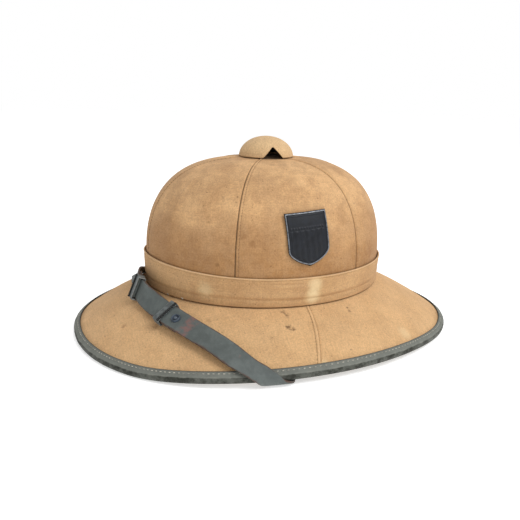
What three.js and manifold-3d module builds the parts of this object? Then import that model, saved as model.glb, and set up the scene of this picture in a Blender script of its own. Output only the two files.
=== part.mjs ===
// A sand-coloured pith helmet: a pith shell covered with canvas gores and brim halves, a cloth band, a bound rim,
// a vented top button, a shield badge and a two-slide leather chin strap worn up over the front of the brim.
// Millimetres. +Z is up, -Y is the front and +X is the wearer's left. The origin lies on the floor below the middle.
import * as THREE from "three";
import { mergeVertices } from "three/addons/utils/BufferGeometryUtils.js";
import Module from "manifold-3d";

const wasm = await Module();
wasm.setup();

// Brim outline, seen from above
const BRIM_LENGTH = 335;
const BRIM_WIDTH = 275;
const BRIM_SQUARENESS = 2.12; // exponent of the outline: 2 is an ellipse
const BRIM_EGG = 0.09; // the front half is wider and the back half narrower by this share
const SIDE_LIFT = 4; // the rim stands clear of the floor at both sides
const LIFT_FROM = 55; // degrees from each side at which that lift has run out
const BRIM_ARCH = 2; // bulge of the brim's top between crown and rim

// Crown, measured on its canvas
const CROWN_LENGTH = 205.4;
const CROWN_WIDTH = 173.4;
const CROWN_FORWARD = 3.3; // the crown sits this far in front of the brim's middle
const ROOT_HEIGHT = 40.9; // where the crown meets the brim, in front and at the back
const ROOT_DIP = 1.8; // the root lies this much lower at both sides
const ROOT_SHARE = 0.985; // the crown's width there, as a share of its full width
const WALL_HEIGHT = 20.7; // upright wall between the root and the start of the dome
const DOME_HEIGHT = 84;
const DOME_RISE = 2.52; // exponents of the dome's profile: it is full at the shoulder and flat on top
const DOME_FULLNESS = 3.17;
const VENT_RADIUS = 12;

// Layers
const PITH = 4;
const PITH_AT_RIM = 2.2;
const CANVAS = 1;
const GAP = 0.3;
const BAND_THICKNESS = 1.6;
const BINDING_THICKNESS = 1;
const BINDING_LAP = 4.5; // how far the binding reaches in from the rim's turn
const SEAM_GAP = 0.4;

// Cloth band round the root of the crown, heights above the root
const BAND_FRONT = 27;
const BAND_SIDE = 23.3;
const BAND_BACK = 22.6;
const BAND_FOOT = 0.35;
const BAND_PLEAT = 0.5; // how far the lower pleats stand in from the top one

// Vented button on top
const BUTTON_RADIUS = 23;
const BUTTON_HEIGHT = 16.8;
const BUTTON_WALL = 1.8;
const NOTCH_WIDTH = 15;
const NOTCH_HEIGHT = 8;
const NOTCH_TIP = 1.6; // rounding of the notch's upper corner
const NOTCH_TURN = -5; // degrees from the wearer's left towards the front

// Shield badge on the wearer's left
const BADGE_WIDTH = 34;
const BADGE_HEIGHT = 40;
const BADGE_FOOT_HEIGHT = 72.3; // its lowest point, above the floor
const BADGE_SHOULDER = 0.3; // share of the height at which the sides start to close
const BADGE_PLATE = 1.3;
const BADGE_RIM = 0.9;
const BADGE_FLUTE = 0.6;
const BADGE_TURN = 4; // degrees, its head towards the front

// Chin strap
const STRAP_WIDTH = 16.9;
const STRAP_THICKNESS = 1.6;
const STRAP_OVERLAP = 19; // the link's tail, hidden under each strap
const SLIDE_LEFT_AT = 66.5; // from the front centre, along the strap
const SLIDE_RIGHT_AT = 20.5;
const SLIDE_LENGTH = 7;
const SLIDE_WALL = 1;
const SLIDE_PLAY = 0.6;
const RIB_COUNT = 9;
const RIB_RADIUS = 0.75;
const STUD_FROM_SLIDE = 12.5;
const STUD_RADIUS = 3.7;
const STUD_HEIGHT = 1.7;
const SHANK_RADIUS = 1.2;
const RIVET_RADIUS = 3.6;
const RIVET_HEAD = 1.2;
const RIVET_DEPTH = 2;
const RIVET_FROM_END = 6.5;

// Facets
const AROUND = 48;
const DOME_ROWS = 7;
const BUTTON_ROWS = 7;
const BRIM_ROWS = 3;
const ROUND_SIDES = 10;
const STRAP_STEP = 9; // longest facet of the strap, and the most it turns from one facet to the next
const STRAP_BEND = 0.17;
const STRAP_LEAST_ADVANCE = 0.6;

const v3 = (x, y, z) => new THREE.Vector3(x, y, z);
const rad = THREE.MathUtils.degToRad;
const lerp = THREE.MathUtils.lerp;

const canvas = new THREE.MeshStandardMaterial({ color: 0xb98f5c, roughness: 0.95, metalness: 0 });
const bandCloth = new THREE.MeshStandardMaterial({ color: 0xc09a66, roughness: 0.95, metalness: 0 });
const pithBoard = new THREE.MeshStandardMaterial({ color: 0xa89468, roughness: 0.98, metalness: 0 });
const rimLeather = new THREE.MeshStandardMaterial({ color: 0x4a4e47, roughness: 0.75, metalness: 0 });
const strapLeather = new THREE.MeshStandardMaterial({ color: 0x4b5557, roughness: 0.6, metalness: 0 });
const paintedSteel = new THREE.MeshStandardMaterial({ color: 0x4f5758, roughness: 0.5, metalness: 0.6 });
const darkMetal = new THREE.MeshStandardMaterial({ color: 0x23272d, roughness: 0.5, metalness: 0.7 });

// A solid between two grids of points, outer[i][j] and inner[i][j]; around joins the last column to the first.
function slab(outer, inner, around) {
  const columns = outer.length;
  const rows = outer[0].length;
  const positions = [...outer.flat(), ...inner.flat()].flatMap((p) => [p.x, p.y, p.z]);
  const index = [];
  const out = (i, j) => (i % columns) * rows + j;
  const inn = (i, j) => columns * rows + out(i, j);
  const quad = (a, b, c, d) => index.push(a, b, c, a, c, d);
  const spans = around ? columns : columns - 1;
  for (let i = 0; i < spans; i++) {
    for (let j = 0; j < rows - 1; j++) {
      quad(out(i, j), out(i + 1, j), out(i + 1, j + 1), out(i, j + 1));
      quad(inn(i, j), inn(i, j + 1), inn(i + 1, j + 1), inn(i + 1, j));
    }
    quad(out(i, 0), inn(i, 0), inn(i + 1, 0), out(i + 1, 0));
    quad(out(i, rows - 1), out(i + 1, rows - 1), inn(i + 1, rows - 1), inn(i, rows - 1));
  }
  if (!around) {
    for (let j = 0; j < rows - 1; j++) {
      quad(out(0, j), out(0, j + 1), inn(0, j + 1), inn(0, j));
      quad(out(spans, j), inn(spans, j), inn(spans, j + 1), out(spans, j + 1));
    }
  }
  const geometry = new THREE.BufferGeometry();
  geometry.setAttribute("position", new THREE.Float32BufferAttribute(positions, 3));
  geometry.setIndex(index);
  return geometry;
}

function solidOf(geometry) {
  const bare = geometry.clone();
  bare.deleteAttribute("normal");
  bare.deleteAttribute("uv");
  const merged = mergeVertices(bare, 1e-4);
  return new wasm.Manifold(
    new wasm.Mesh({
      numProp: 3,
      vertProperties: new Float32Array(merged.attributes.position.array),
      triVerts: new Uint32Array(merged.index.array),
    }),
  );
}

function geometryOf(solid) {
  const mesh = solid.getMesh();
  const geometry = new THREE.BufferGeometry();
  geometry.setAttribute("position", new THREE.Float32BufferAttribute(mesh.vertProperties, 3));
  geometry.setIndex(new THREE.Uint32BufferAttribute(mesh.triVerts, 1));
  return geometry;
}

const cut = (geometry, ...tools) =>
  geometryOf(tools.reduce((body, tool) => body.subtract(solidOf(tool)), solidOf(geometry)));
const join = (...pieces) => geometryOf(pieces.map(solidOf).reduce((a, b) => a.add(b)));

// Crown surface at a turn (radians, 0 at the wearer's left, -90 degrees at the front) and height, depth below the canvas
const crownX = CROWN_WIDTH / 2;
const crownY = CROWN_LENGTH / 2;
const domeFoot = ROOT_HEIGHT + WALL_HEIGHT;
const crownTop = domeFoot + DOME_HEIGHT;

const rootHeight = (turn) => ROOT_HEIGHT - ROOT_DIP * Math.cos(turn) ** 2;

function crownShare(z, depth) {
  if (z <= domeFoot) return lerp(ROOT_SHARE, 1, (z - ROOT_HEIGHT) / WALL_HEIGHT);
  const rise = Math.min(1, (z - domeFoot) / (DOME_HEIGHT - depth));
  return (1 - rise ** DOME_RISE) ** (1 / DOME_FULLNESS);
}

function crownPoint(turn, z, depth) {
  const share = crownShare(z, depth);
  return v3(
    (crownX - depth) * share * Math.cos(turn),
    (crownY - depth) * share * Math.sin(turn) - CROWN_FORWARD,
    z,
  );
}

// Heights of the dome's rows, from its foot up to the edge of the vent
function domeHeights(depth) {
  const edge = Math.acos((VENT_RADIUS / crownY) ** (DOME_FULLNESS / 2));
  return Array.from({ length: DOME_ROWS + 1 }, (_, k) => {
    const rise = Math.sin((edge * k) / DOME_ROWS) ** (2 / DOME_RISE);
    return domeFoot + rise * (DOME_HEIGHT - depth);
  });
}

// Brim section at a turn: its root on the crown's canvas, the middle of the rim's turn, and the slope between them
const rimRadius = (PITH_AT_RIM + CANVAS + 3 * GAP) / 2 + BINDING_THICKNESS;
const signedPower = (value, power) => Math.sign(value) * Math.abs(value) ** power;

function rimLift(turn) {
  const still = Math.cos(rad(LIFT_FROM));
  return SIDE_LIFT * THREE.MathUtils.smoothstep(Math.abs(Math.cos(turn)), still, 1);
}

function brimSection(turn) {
  const root = crownPoint(turn, rootHeight(turn), 0);
  const power = 2 / BRIM_SQUARENESS;
  const rim = v3(
    (BRIM_WIDTH / 2 - rimRadius) * signedPower(Math.cos(turn), power) * (1 - BRIM_EGG * Math.sin(turn)),
    (BRIM_LENGTH / 2 - rimRadius) * signedPower(Math.sin(turn), power),
    rimLift(turn) + rimRadius,
  );
  const away = v3(rim.x - root.x, rim.y - root.y, 0);
  const slope = Math.atan2(root.z - rim.z, away.length());
  away.normalize();
  const up = away.clone().multiplyScalar(Math.sin(slope)).add(v3(0, 0, Math.cos(slope)));
  const down = away.clone().multiplyScalar(Math.cos(slope)).add(v3(0, 0, -Math.sin(slope)));
  return { root, rim, away, slope, up, down };
}

const coverAboveRim = rimRadius - BINDING_THICKNESS - GAP; // the canvas above the middle of the rim's turn

// Point on the brim, out from 0 at the crown to 1 at the rim, depth below its canvas
function brimPoint(turn, out, depth) {
  const { root, rim, up } = brimSection(turn);
  const edge = rim.clone().addScaledVector(up, coverAboveRim);
  const arch = BRIM_ARCH * 4 * out * (1 - out);
  return root.clone().lerp(edge, out).addScaledVector(up, arch - depth);
}

// Point round the rim's turn, at an angle above the outward level
function rimPoint(turn, angle, radius) {
  const { rim, away } = brimSection(turn);
  return rim
    .clone()
    .addScaledVector(away, radius * Math.cos(angle))
    .add(v3(0, 0, radius * Math.sin(angle)));
}

const turns = (from, to, steps) => Array.from({ length: steps }, (_, i) => lerp(from, to, i / (steps - 1)));
const fullTurns = Array.from({ length: AROUND }, (_, i) => (i * 2 * Math.PI) / AROUND);
const brimShares = Array.from({ length: BRIM_ROWS + 1 }, (_, k) => k / BRIM_ROWS);

// Pith shell: crown and brim in one piece, open at the vent and below
function rootCorner(turn, depth, brimDepth) {
  const { slope } = brimSection(turn);
  const z = rootHeight(turn) - brimDepth / Math.cos(slope) + depth * Math.tan(slope);
  const corner = crownPoint(turn, rootHeight(turn), depth);
  corner.z = z;
  return corner;
}

function pithShell() {
  const cover = CANVAS + GAP;
  const column = (turn, crownDepth, brimDepthAt) => [
    ...brimShares.slice(1).reverse().map((out) => brimPoint(turn, out, brimDepthAt(out))),
    rootCorner(turn, crownDepth, brimDepthAt(0)),
    ...domeHeights(crownDepth).map((z) => crownPoint(turn, z, crownDepth)),
  ];
  const outer = fullTurns.map((turn) => column(turn, cover, () => cover));
  const inner = fullTurns.map((turn) => column(turn, cover + PITH, (out) => cover + lerp(PITH, PITH_AT_RIM, out)));
  return slab(outer, inner, true);
}

// Six canvas gores with a seam at the front and the back
const GORES = ["left", "back_left", "back_right", "right", "front_right", "front_left"];

function gore(number) {
  const middle = (number * 2 * Math.PI) / GORES.length;
  const half = Math.PI / GORES.length - SEAM_GAP / 2 / crownY;
  const steps = AROUND / GORES.length + 1;
  const column = (turn, depth) =>
    [rootHeight(turn) + GAP, ...domeHeights(depth)].map((z) => crownPoint(turn, z, depth));
  const spread = turns(middle - half, middle + half, steps);
  return slab(spread.map((turn) => column(turn, 0)), spread.map((turn) => column(turn, CANVAS)), false);
}

// Two canvas halves on top of the brim, seamed at both sides and tucked under the binding
function brimCover(middle) {
  const half = Math.PI / 2 - SEAM_GAP / BRIM_WIDTH;
  const spread = turns(middle - half, middle + half, AROUND / 2 + 1);
  const column = (turn, depth) => brimShares.slice().reverse().map((out) => brimPoint(turn, out, depth));
  return slab(spread.map((turn) => column(turn, 0)), spread.map((turn) => column(turn, CANVAS)), false);
}

// Pleated band, tall at the front and low at the back. Share is the height, stand the way out from the canvas.
const BAND_PROFILE = [
  { share: 0, stand: 0.4 },
  { share: 0.38, stand: 0 },
  { share: 0.44, stand: 1 },
  { share: 0.72, stand: 0.3 },
  { share: 0.78, stand: 1 },
  { share: 1, stand: 0.8 },
];

function bandHeight(turn) {
  const end = Math.sin(turn) < 0 ? BAND_FRONT : BAND_BACK;
  return lerp(BAND_SIDE, end, Math.abs(Math.sin(turn)) ** 3);
}

function bandPoint(turn, share, stand) {
  const z = rootHeight(turn) + lerp(BAND_FOOT, bandHeight(turn), share);
  return crownPoint(turn, z, -stand);
}

function hatBand() {
  const outside = ({ stand }) => GAP + BAND_THICKNESS + (stand - 1) * BAND_PLEAT;
  const outer = fullTurns.map((turn) => BAND_PROFILE.map((row) => bandPoint(turn, row.share, outside(row))));
  const inner = fullTurns.map((turn) => BAND_PROFILE.map((row) => bandPoint(turn, row.share, GAP)));
  return slab(outer, inner, true);
}

// Binding folded over the rim, with a level facet below on which the helmet rests
function edgeBinding() {
  const flat = rad(15); // half of the level facet, seen from the middle of the rim's turn
  const straightDown = -Math.PI / 2;
  const shellAtRim = CANVAS + GAP + PITH_AT_RIM;
  const column = (turn, stand) => {
    const { root, rim, slope } = brimSection(turn);
    const reach = root.distanceTo(rim);
    const radius = rimRadius - BINDING_THICKNESS + stand;
    const above = (back) => brimPoint(turn, 1 - back / reach, -GAP - stand);
    const below = (back) => {
      const thicker = ((PITH - PITH_AT_RIM) * back) / reach;
      return brimPoint(turn, 1 - back / reach, shellAtRim + thicker + GAP + stand);
    };
    return [
      below(BINDING_LAP),
      below(BINDING_LAP / 2),
      rimPoint(turn, straightDown - flat, radius / Math.cos(flat)),
      rimPoint(turn, straightDown + flat, radius / Math.cos(flat)),
      rimPoint(turn, rad(-35), radius),
      rimPoint(turn, (Math.PI / 2 - slope) / 3, radius),
      above(0),
      above(BINDING_LAP / 2),
      above(BINDING_LAP),
    ];
  };
  const outer = fullTurns.map((turn) => column(turn, BINDING_THICKNESS));
  const inner = fullTurns.map((turn) => column(turn, 0));
  return slab(outer, inner, true);
}

// Hollow top button with a notch for air at each side
function ventButton() {
  const quarter = turns(0, Math.PI / 2, BUTTON_ROWS);
  const arc = (radius, height) => quarter.map((a) => new THREE.Vector2(radius * Math.cos(a), height * Math.sin(a)));
  const outside = arc(BUTTON_RADIUS, BUTTON_HEIGHT);
  const inside = arc(BUTTON_RADIUS - BUTTON_WALL, BUTTON_HEIGHT - BUTTON_WALL).reverse();
  outside.at(-1).x = 0;
  inside[0].x = 0;
  const dome = new THREE.LatheGeometry([...inside, ...outside], 28);
  dome.rotateX(Math.PI / 2);
  const half = NOTCH_WIDTH / 2;
  const notch = new THREE.Shape();
  notch.moveTo(-half, -1);
  notch.lineTo(half, -1);
  notch.lineTo(half, 0);
  notch.lineTo(NOTCH_TIP, NOTCH_HEIGHT - NOTCH_TIP);
  notch.quadraticCurveTo(0, NOTCH_HEIGHT + NOTCH_TIP / 2, -NOTCH_TIP, NOTCH_HEIGHT - NOTCH_TIP);
  notch.lineTo(-half, 0);
  const prism = new THREE.ExtrudeGeometry(notch, { depth: 3 * BUTTON_RADIUS, bevelEnabled: false, curveSegments: 4 });
  prism.translate(0, 0, -1.5 * BUTTON_RADIUS);
  prism.rotateX(Math.PI / 2);
  prism.rotateZ(Math.PI / 2 + rad(NOTCH_TURN));
  return cut(dome, prism);
}

// Shield with a raised border and a fluted field, bent to the crown's side
const BADGE_COLUMNS = [0, 0.15, 0.3, 0.45, 0.6, 0.75, 0.8, 0.86, 1];
const BADGE_ROWS = [0, 0.06, 0.12, 0.2, 0.3, 0.45, 0.6, 0.7, 0.73, 0.9, 0.94, 1];
const BADGE_BORDER = 0.83;
const BADGE_CHIEF = 0.71; // the plain field above this share of the height
const BADGE_TOP_BORDER = 0.92;

function badgeHalfWidth(share) {
  if (share >= BADGE_SHOULDER) return BADGE_WIDTH / 2;
  const closing = (BADGE_SHOULDER - share) / BADGE_SHOULDER;
  return (BADGE_WIDTH / 2) * (0.04 + 0.96 * Math.sqrt(1 - closing ** 1.7));
}

function badgeRelief(column, share) {
  const border = Math.abs(column) > BADGE_BORDER || share > BADGE_TOP_BORDER || share < 0.1;
  if (border) return BADGE_RIM;
  const between = Math.round(Math.abs(column) / 0.15) % 2 === 1;
  return share > BADGE_CHIEF || between || Math.abs(column) > 0.7 ? 0 : BADGE_FLUTE;
}

function shieldBadge() {
  const columns = [...BADGE_COLUMNS.slice(1).map((c) => -c).reverse(), ...BADGE_COLUMNS];
  const turned = rad(BADGE_TURN);
  const point = (column, share, stand) => {
    const across = column * badgeHalfWidth(share);
    const above = (share - 0.5) * BADGE_HEIGHT;
    const y = across * Math.cos(turned) - above * Math.sin(turned);
    const z = BADGE_FOOT_HEIGHT + BADGE_HEIGHT / 2 + above * Math.cos(turned) + across * Math.sin(turned);
    const width = crownY * crownShare(z, -stand);
    return crownPoint(Math.asin((y + CROWN_FORWARD) / width), z, -stand);
  };
  const column = (c, relief) => BADGE_ROWS.map((share) => point(c, share, GAP + relief(c, share)));
  const outer = columns.map((c) => column(c, (a, b) => BADGE_PLATE + badgeRelief(a, b)));
  const inner = columns.map((c) => column(c, () => 0));
  return slab(outer, inner, false);
}

// Route of the chin strap on the wearer's left, from the front centre to its rivet under the brim.
// Turn is in degrees, out is the share of the brim, rise a share of the strap's width above the canvas,
// and lean the degrees by which the strap stands up from the brim.
const STRAP_OVER_LEFT = [
  { turn: -90, out: 0.1, rise: 0.52, lean: 42 },
  { turn: -80, out: 0.168, rise: 0.64, lean: 40 },
  { turn: -73.5, out: 0.202, rise: 0.6, lean: 35 },
  { turn: -67, out: 0.226, rise: 0.5, lean: 23 },
  { turn: -60, out: 0.262, rise: 0.42, lean: 8 },
  { turn: -54, out: 0.31, rise: 0.39, lean: 2 },
  { turn: -48, out: 0.37, rise: 0.37, lean: 1 },
  { turn: -40.5, out: 0.465, rise: 0.34, lean: 0 },
  { turn: -31, out: 0.635, rise: 0.32, lean: 0 },
  { turn: -24, out: 0.8, rise: 0.27, lean: 0 },
  { turn: -20, out: 0.94, rise: 0.21, lean: 0 },
];
// From just past the front centre, with its turns mirrored. Here the strap keeps close to the band.
const STRAP_OVER_RIGHT = [
  { turn: -83, out: 0.088, rise: 0.44, lean: 36 },
  { turn: -75, out: 0.108, rise: 0.32, lean: 22 },
  { turn: -66, out: 0.15, rise: 0.2, lean: 6 },
  { turn: -58, out: 0.24, rise: 0.15, lean: 0 },
  { turn: -49, out: 0.36, rise: 0.13, lean: 0 },
  { turn: -40, out: 0.5, rise: 0.14, lean: 0 },
  { turn: -31, out: 0.66, rise: 0.18, lean: 0 },
  { turn: -24, out: 0.81, rise: 0.21, lean: 0 },
  { turn: -20, out: 0.94, rise: 0.21, lean: 0 },
];
// Round the rim: angle in degrees above the outward level
const STRAP_ROUND = [
  { turn: -17.5, angle: 57 },
  { turn: -16, angle: 12 },
  { turn: -14.5, angle: -30 },
  { turn: -13.1, angle: -74 },
  { turn: -11.3, angle: -123 },
];
// Below the brim, straight on to the rivet
const STRAP_UNDER = [
  { turn: -9.6, out: 0.8 },
  { turn: -6.2, out: 0.565 },
  { turn: -1.9, out: 0.35 },
  { turn: 1.4, out: 0.21 },
  { turn: 3.9, out: 0.12 },
];
const STRAP_CLEARANCE = 1.1; // below the binding and round it
const UNDER_CLEARANCE = GAP + BINDING_THICKNESS + STRAP_CLEARANCE; // from the pith
const ROUTE_SAMPLES = 800;

function strapStations(overBrim) {
  const half = STRAP_THICKNESS / 2;
  const over = overBrim.map(({ turn, out, rise, lean }) => {
    const { up, down } = brimSection(rad(turn));
    const normal = up.clone().multiplyScalar(Math.cos(rad(lean))).addScaledVector(down, Math.sin(rad(lean)));
    return { point: brimPoint(rad(turn), out, -rise * STRAP_WIDTH), normal };
  });
  const round = STRAP_ROUND.map(({ turn, angle }) => {
    const { rim } = brimSection(rad(turn));
    const point = rimPoint(rad(turn), rad(angle), rimRadius + STRAP_CLEARANCE + half);
    const ruling = brimSection(rad(turn - 1)).rim.clone().sub(brimSection(rad(turn + 1)).rim).normalize();
    return { point, normal: point.clone().sub(rim).normalize(), ruling };
  });
  const under = STRAP_UNDER.map(({ turn, out }) => {
    const depth = CANVAS + GAP + lerp(PITH, PITH_AT_RIM, out) + UNDER_CLEARANCE + half;
    return { point: brimPoint(rad(turn), out, depth), normal: brimSection(rad(turn)).up.negate() };
  });
  return [...over, ...round, ...under];
}

const mirror = (v) => v3(-v.x, v.y, v.z);
const mirrored = ({ point, normal, ruling }) => ({
  point: mirror(point),
  normal: mirror(normal),
  ruling: ruling && mirror(ruling),
});

// The whole route, left rivet to right rivet, sampled finely. The ruling is the line along which the strap stays
// straight: square across it on the brim, and level with the rim's edge where it folds round that.
function strapRoute() {
  const left = strapStations(STRAP_OVER_LEFT);
  const right = strapStations(STRAP_OVER_RIGHT).map(mirrored);
  const stations = [...left.slice().reverse(), ...right];
  const rulings = stations.map(({ normal, ruling }, i) => {
    const before = stations[Math.max(0, i - 1)].point;
    const after = stations[Math.min(stations.length - 1, i + 1)].point;
    const across = after.clone().sub(before).cross(normal).normalize();
    if (!ruling) return across;
    return ruling.dot(across) < 0 ? ruling.clone().negate() : ruling;
  });
  const smooth = (vectors) => new THREE.CatmullRomCurve3(vectors, false, "catmullrom", 0.5).getPoints(ROUTE_SAMPLES);
  const points = smooth(stations.map((s) => s.point));
  const front = Math.round(((left.length - 1) / (stations.length - 1)) * ROUTE_SAMPLES);
  const reach = [0];
  for (let i = 1; i <= ROUTE_SAMPLES; i++) reach.push(reach[i - 1] + points[i].distanceTo(points[i - 1]));
  return {
    points,
    normals: smooth(stations.map((s) => s.normal)),
    rulings: smooth(rulings),
    reach,
    length: reach[ROUTE_SAMPLES],
    front: reach[front],
  };
}

const route = strapRoute();

// Position, direction, outward normal and width direction at a distance along the route, and half the ruling there
function strapFrame(distance) {
  const far = route.reach.findIndex((r) => r >= distance);
  const i = Math.max(1, far < 0 ? ROUTE_SAMPLES : far);
  const share = (distance - route.reach[i - 1]) / (route.reach[i] - route.reach[i - 1]);
  const between = (vectors) => vectors[i - 1].clone().lerp(vectors[i], share);
  const point = between(route.points);
  const along = route.points[i].clone().sub(route.points[i - 1]).normalize();
  const square = (v) => v.addScaledVector(along, -v.dot(along)).normalize();
  const normal = square(between(route.normals));
  const ruling = between(route.rulings).projectOnPlane(normal).normalize();
  const halfRuling = ruling.clone().multiplyScalar(STRAP_WIDTH / 2 / along.clone().cross(ruling).length());
  return { point, along, normal, across: along.clone().cross(normal), halfRuling };
}

// A corner of the strap's cross-section, at a level above its middle
function strapEdge(frame, side, level) {
  return frame.point.clone().addScaledVector(frame.halfRuling, side).addScaledVector(frame.normal, level);
}

// How far the slowest corner of the cross-section has moved on from one frame to the next
function cornerAdvance(last, frame) {
  const steps = [1, -1].flatMap((side) =>
    [0.5, -0.5].map((share) => {
      const level = share * STRAP_THICKNESS;
      return strapEdge(frame, side, level).sub(strapEdge(last, side, level)).dot(frame.along);
    }),
  );
  return Math.min(...steps);
}

// Distances along the route, close together where the strap bends, but never so close that two cross-sections meet
function strapStops(from, to) {
  const stops = [from];
  let last = strapFrame(from);
  for (let distance = from + 1; distance < to - 1; distance++) {
    const frame = strapFrame(distance);
    const bend = Math.max(frame.along.angleTo(last.along), frame.normal.angleTo(last.normal));
    if (bend < STRAP_BEND && distance - stops.at(-1) < STRAP_STEP) continue;
    if (cornerAdvance(last, frame) < STRAP_LEAST_ADVANCE) continue;
    stops.push(distance);
    last = frame;
  }
  return [...stops, to];
}

// A length of strap, lowered by a distance below the route
function strapBetween(from, to, lowered) {
  const stations = strapStops(from, to).map(strapFrame);
  const face = (level) => stations.map((frame) => [1, -1].map((side) => strapEdge(frame, side, level - lowered)));
  return slab(face(STRAP_THICKNESS / 2), face(-STRAP_THICKNESS / 2), false);
}

// Turns a geometry made about the origin, its Z outward and its X along the strap, to a place on the route
function placeOnStrap(geometry, distance, level) {
  const { point, along, normal, across } = strapFrame(distance);
  const place = new THREE.Matrix4().makeBasis(along, across.clone().negate(), normal);
  place.setPosition(point.clone().addScaledVector(normal, level));
  return geometry.clone().applyMatrix4(place);
}

function rod(radius, from, to) {
  const cylinder = new THREE.CylinderGeometry(radius, radius, to - from, ROUND_SIDES);
  cylinder.rotateX(Math.PI / 2);
  return cylinder.translate(0, 0, (from + to) / 2);
}

// Slide: a sheet sleeve round both layers of strap, with a ribbed bar on top of its outer end
const layerDrop = STRAP_THICKNESS + GAP;

function strapSlide(distance, barSide) {
  const width = STRAP_WIDTH + 2 * SLIDE_PLAY;
  const inside = 2 * STRAP_THICKNESS + GAP + 2 * SLIDE_PLAY;
  const outline = new THREE.Shape();
  const w = width / 2 + SLIDE_WALL;
  const h = inside / 2 + SLIDE_WALL;
  outline.moveTo(-w, -h).lineTo(w, -h).lineTo(w, h).lineTo(-w, h);
  const opening = new THREE.Path();
  opening.moveTo(-width / 2, -inside / 2).lineTo(-width / 2, inside / 2);
  opening.lineTo(width / 2, inside / 2).lineTo(width / 2, -inside / 2);
  outline.holes.push(opening);
  const sleeve = new THREE.ExtrudeGeometry(outline, { depth: SLIDE_LENGTH, bevelEnabled: false });
  sleeve.translate(0, 0, -SLIDE_LENGTH / 2);
  sleeve.rotateX(Math.PI / 2);
  sleeve.rotateZ(Math.PI / 2);
  const profile = [new THREE.Vector2(0, -w)];
  const pitch = (2 * w) / RIB_COUNT;
  for (let rib = 0; rib < RIB_COUNT; rib++) {
    const start = -w + rib * pitch;
    profile.push(new THREE.Vector2(RIB_RADIUS * 0.7, start), new THREE.Vector2(RIB_RADIUS, start + pitch / 2));
  }
  profile.push(new THREE.Vector2(RIB_RADIUS * 0.7, w), new THREE.Vector2(0, w));
  const bar = new THREE.LatheGeometry(profile, 8);
  bar.translate(barSide * (SLIDE_LENGTH / 2 - RIB_RADIUS * 1.6), 0, h);
  return placeOnStrap(join(sleeve, bar), distance, -layerDrop / 2);
}

// Stud: a domed head with a sunk ring, its shank and a back plate through both layers
function strapStud(distance) {
  const r = STUD_RADIUS;
  const t = STUD_HEIGHT;
  const profile = [
    [0, 0], [r, 0], [r, 0.45 * t], [0.86 * r, 0.8 * t], [0.66 * r, 0.8 * t], [0.58 * r, 0.45 * t],
    [0.46 * r, 0.5 * t], [0.36 * r, 0.85 * t], [0.14 * r, t], [0, t],
  ].map(([radius, height]) => new THREE.Vector2(radius, height));
  const head = new THREE.LatheGeometry(profile, ROUND_SIDES);
  head.rotateX(Math.PI / 2);
  head.translate(0, 0, STRAP_THICKNESS / 2 + GAP);
  const bottom = -layerDrop - STRAP_THICKNESS / 2 - GAP;
  const shank = rod(SHANK_RADIUS, bottom - 0.2, STRAP_THICKNESS / 2 + GAP + 0.2);
  const plate = rod(0.7 * r, bottom - 0.7, bottom);
  return placeOnStrap(join(head, shank, plate), distance, 0);
}

const hole = (distance, level) => placeOnStrap(rod(SHANK_RADIUS + GAP, -STRAP_THICKNESS, STRAP_THICKNESS), distance, level);

// Rivet that holds a strap's hidden end to the pith under the brim
function strapRivet(distance) {
  const under = STRAP_THICKNESS / 2;
  const head = rod(RIVET_RADIUS, under + GAP, under + GAP + RIVET_HEAD);
  const shank = rod(SHANK_RADIUS, -under - UNDER_CLEARANCE - RIVET_DEPTH, under + GAP + RIVET_HEAD / 2);
  return placeOnStrap(join(head, shank), distance, 0);
}

const pithHole = (distance) =>
  placeOnStrap(
    rod(SHANK_RADIUS + GAP, -STRAP_THICKNESS / 2 - UNDER_CLEARANCE - RIVET_DEPTH - GAP, 0),
    distance,
    0,
  );

const helmet = new THREE.Group();

function add(name, geometry, material, parent = helmet) {
  const mesh = new THREE.Mesh(geometry, material);
  mesh.name = name;
  parent.add(mesh);
  return mesh;
}

// Places along the strap's route
const slideLeft = route.front - SLIDE_LEFT_AT;
const slideRight = route.front - SLIDE_RIGHT_AT;
const studLeft = slideLeft - STUD_FROM_SLIDE;
const studRight = slideRight + STUD_FROM_SLIDE;
const rivetLeft = RIVET_FROM_END;
const rivetRight = route.length - RIVET_FROM_END;

add("pith_shell", cut(pithShell(), pithHole(rivetLeft), pithHole(rivetRight)), pithBoard);
const gores = new THREE.Group();
helmet.add(gores);
GORES.forEach((place, number) => add(`crown_gore_${place}`, gore(number), canvas, gores));
add("brim_cover_front", brimCover(-Math.PI / 2), canvas);
add("brim_cover_back", brimCover(Math.PI / 2), canvas);
add("hat_band", hatBand(), bandCloth);
add("edge_binding", edgeBinding(), rimLeather);
const button = add("vent_button", ventButton(), canvas);
button.position.set(0, -CROWN_FORWARD, crownTop + GAP);
add("shield_badge", shieldBadge(), darkMetal);

const strap = new THREE.Group();
helmet.add(strap);
add(
  "strap_left",
  cut(strapBetween(0, slideLeft + SLIDE_LENGTH / 4, 0), hole(studLeft, 0), hole(rivetLeft, 0)),
  strapLeather,
  strap,
);
add(
  "strap_right",
  cut(
    strapBetween(slideRight - SLIDE_LENGTH / 4, route.length, 0),
    hole(studRight, 0),
    hole(rivetRight, 0),
  ),
  strapLeather,
  strap,
);
add(
  "strap_link",
  cut(
    strapBetween(slideLeft - STRAP_OVERLAP, slideRight + STRAP_OVERLAP, layerDrop),
    hole(studLeft, -layerDrop),
    hole(studRight, -layerDrop),
  ),
  strapLeather,
  strap,
);
add("slide_left", strapSlide(slideLeft, -1), paintedSteel, strap);
add("slide_right", strapSlide(slideRight, 1), paintedSteel, strap);
add("stud_left", strapStud(studLeft), paintedSteel, strap);
add("stud_right", strapStud(studRight), paintedSteel, strap);
add("rivet_left", strapRivet(rivetLeft), paintedSteel, strap);
add("rivet_right", strapRivet(rivetRight), paintedSteel, strap);

export default helmet;
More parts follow.
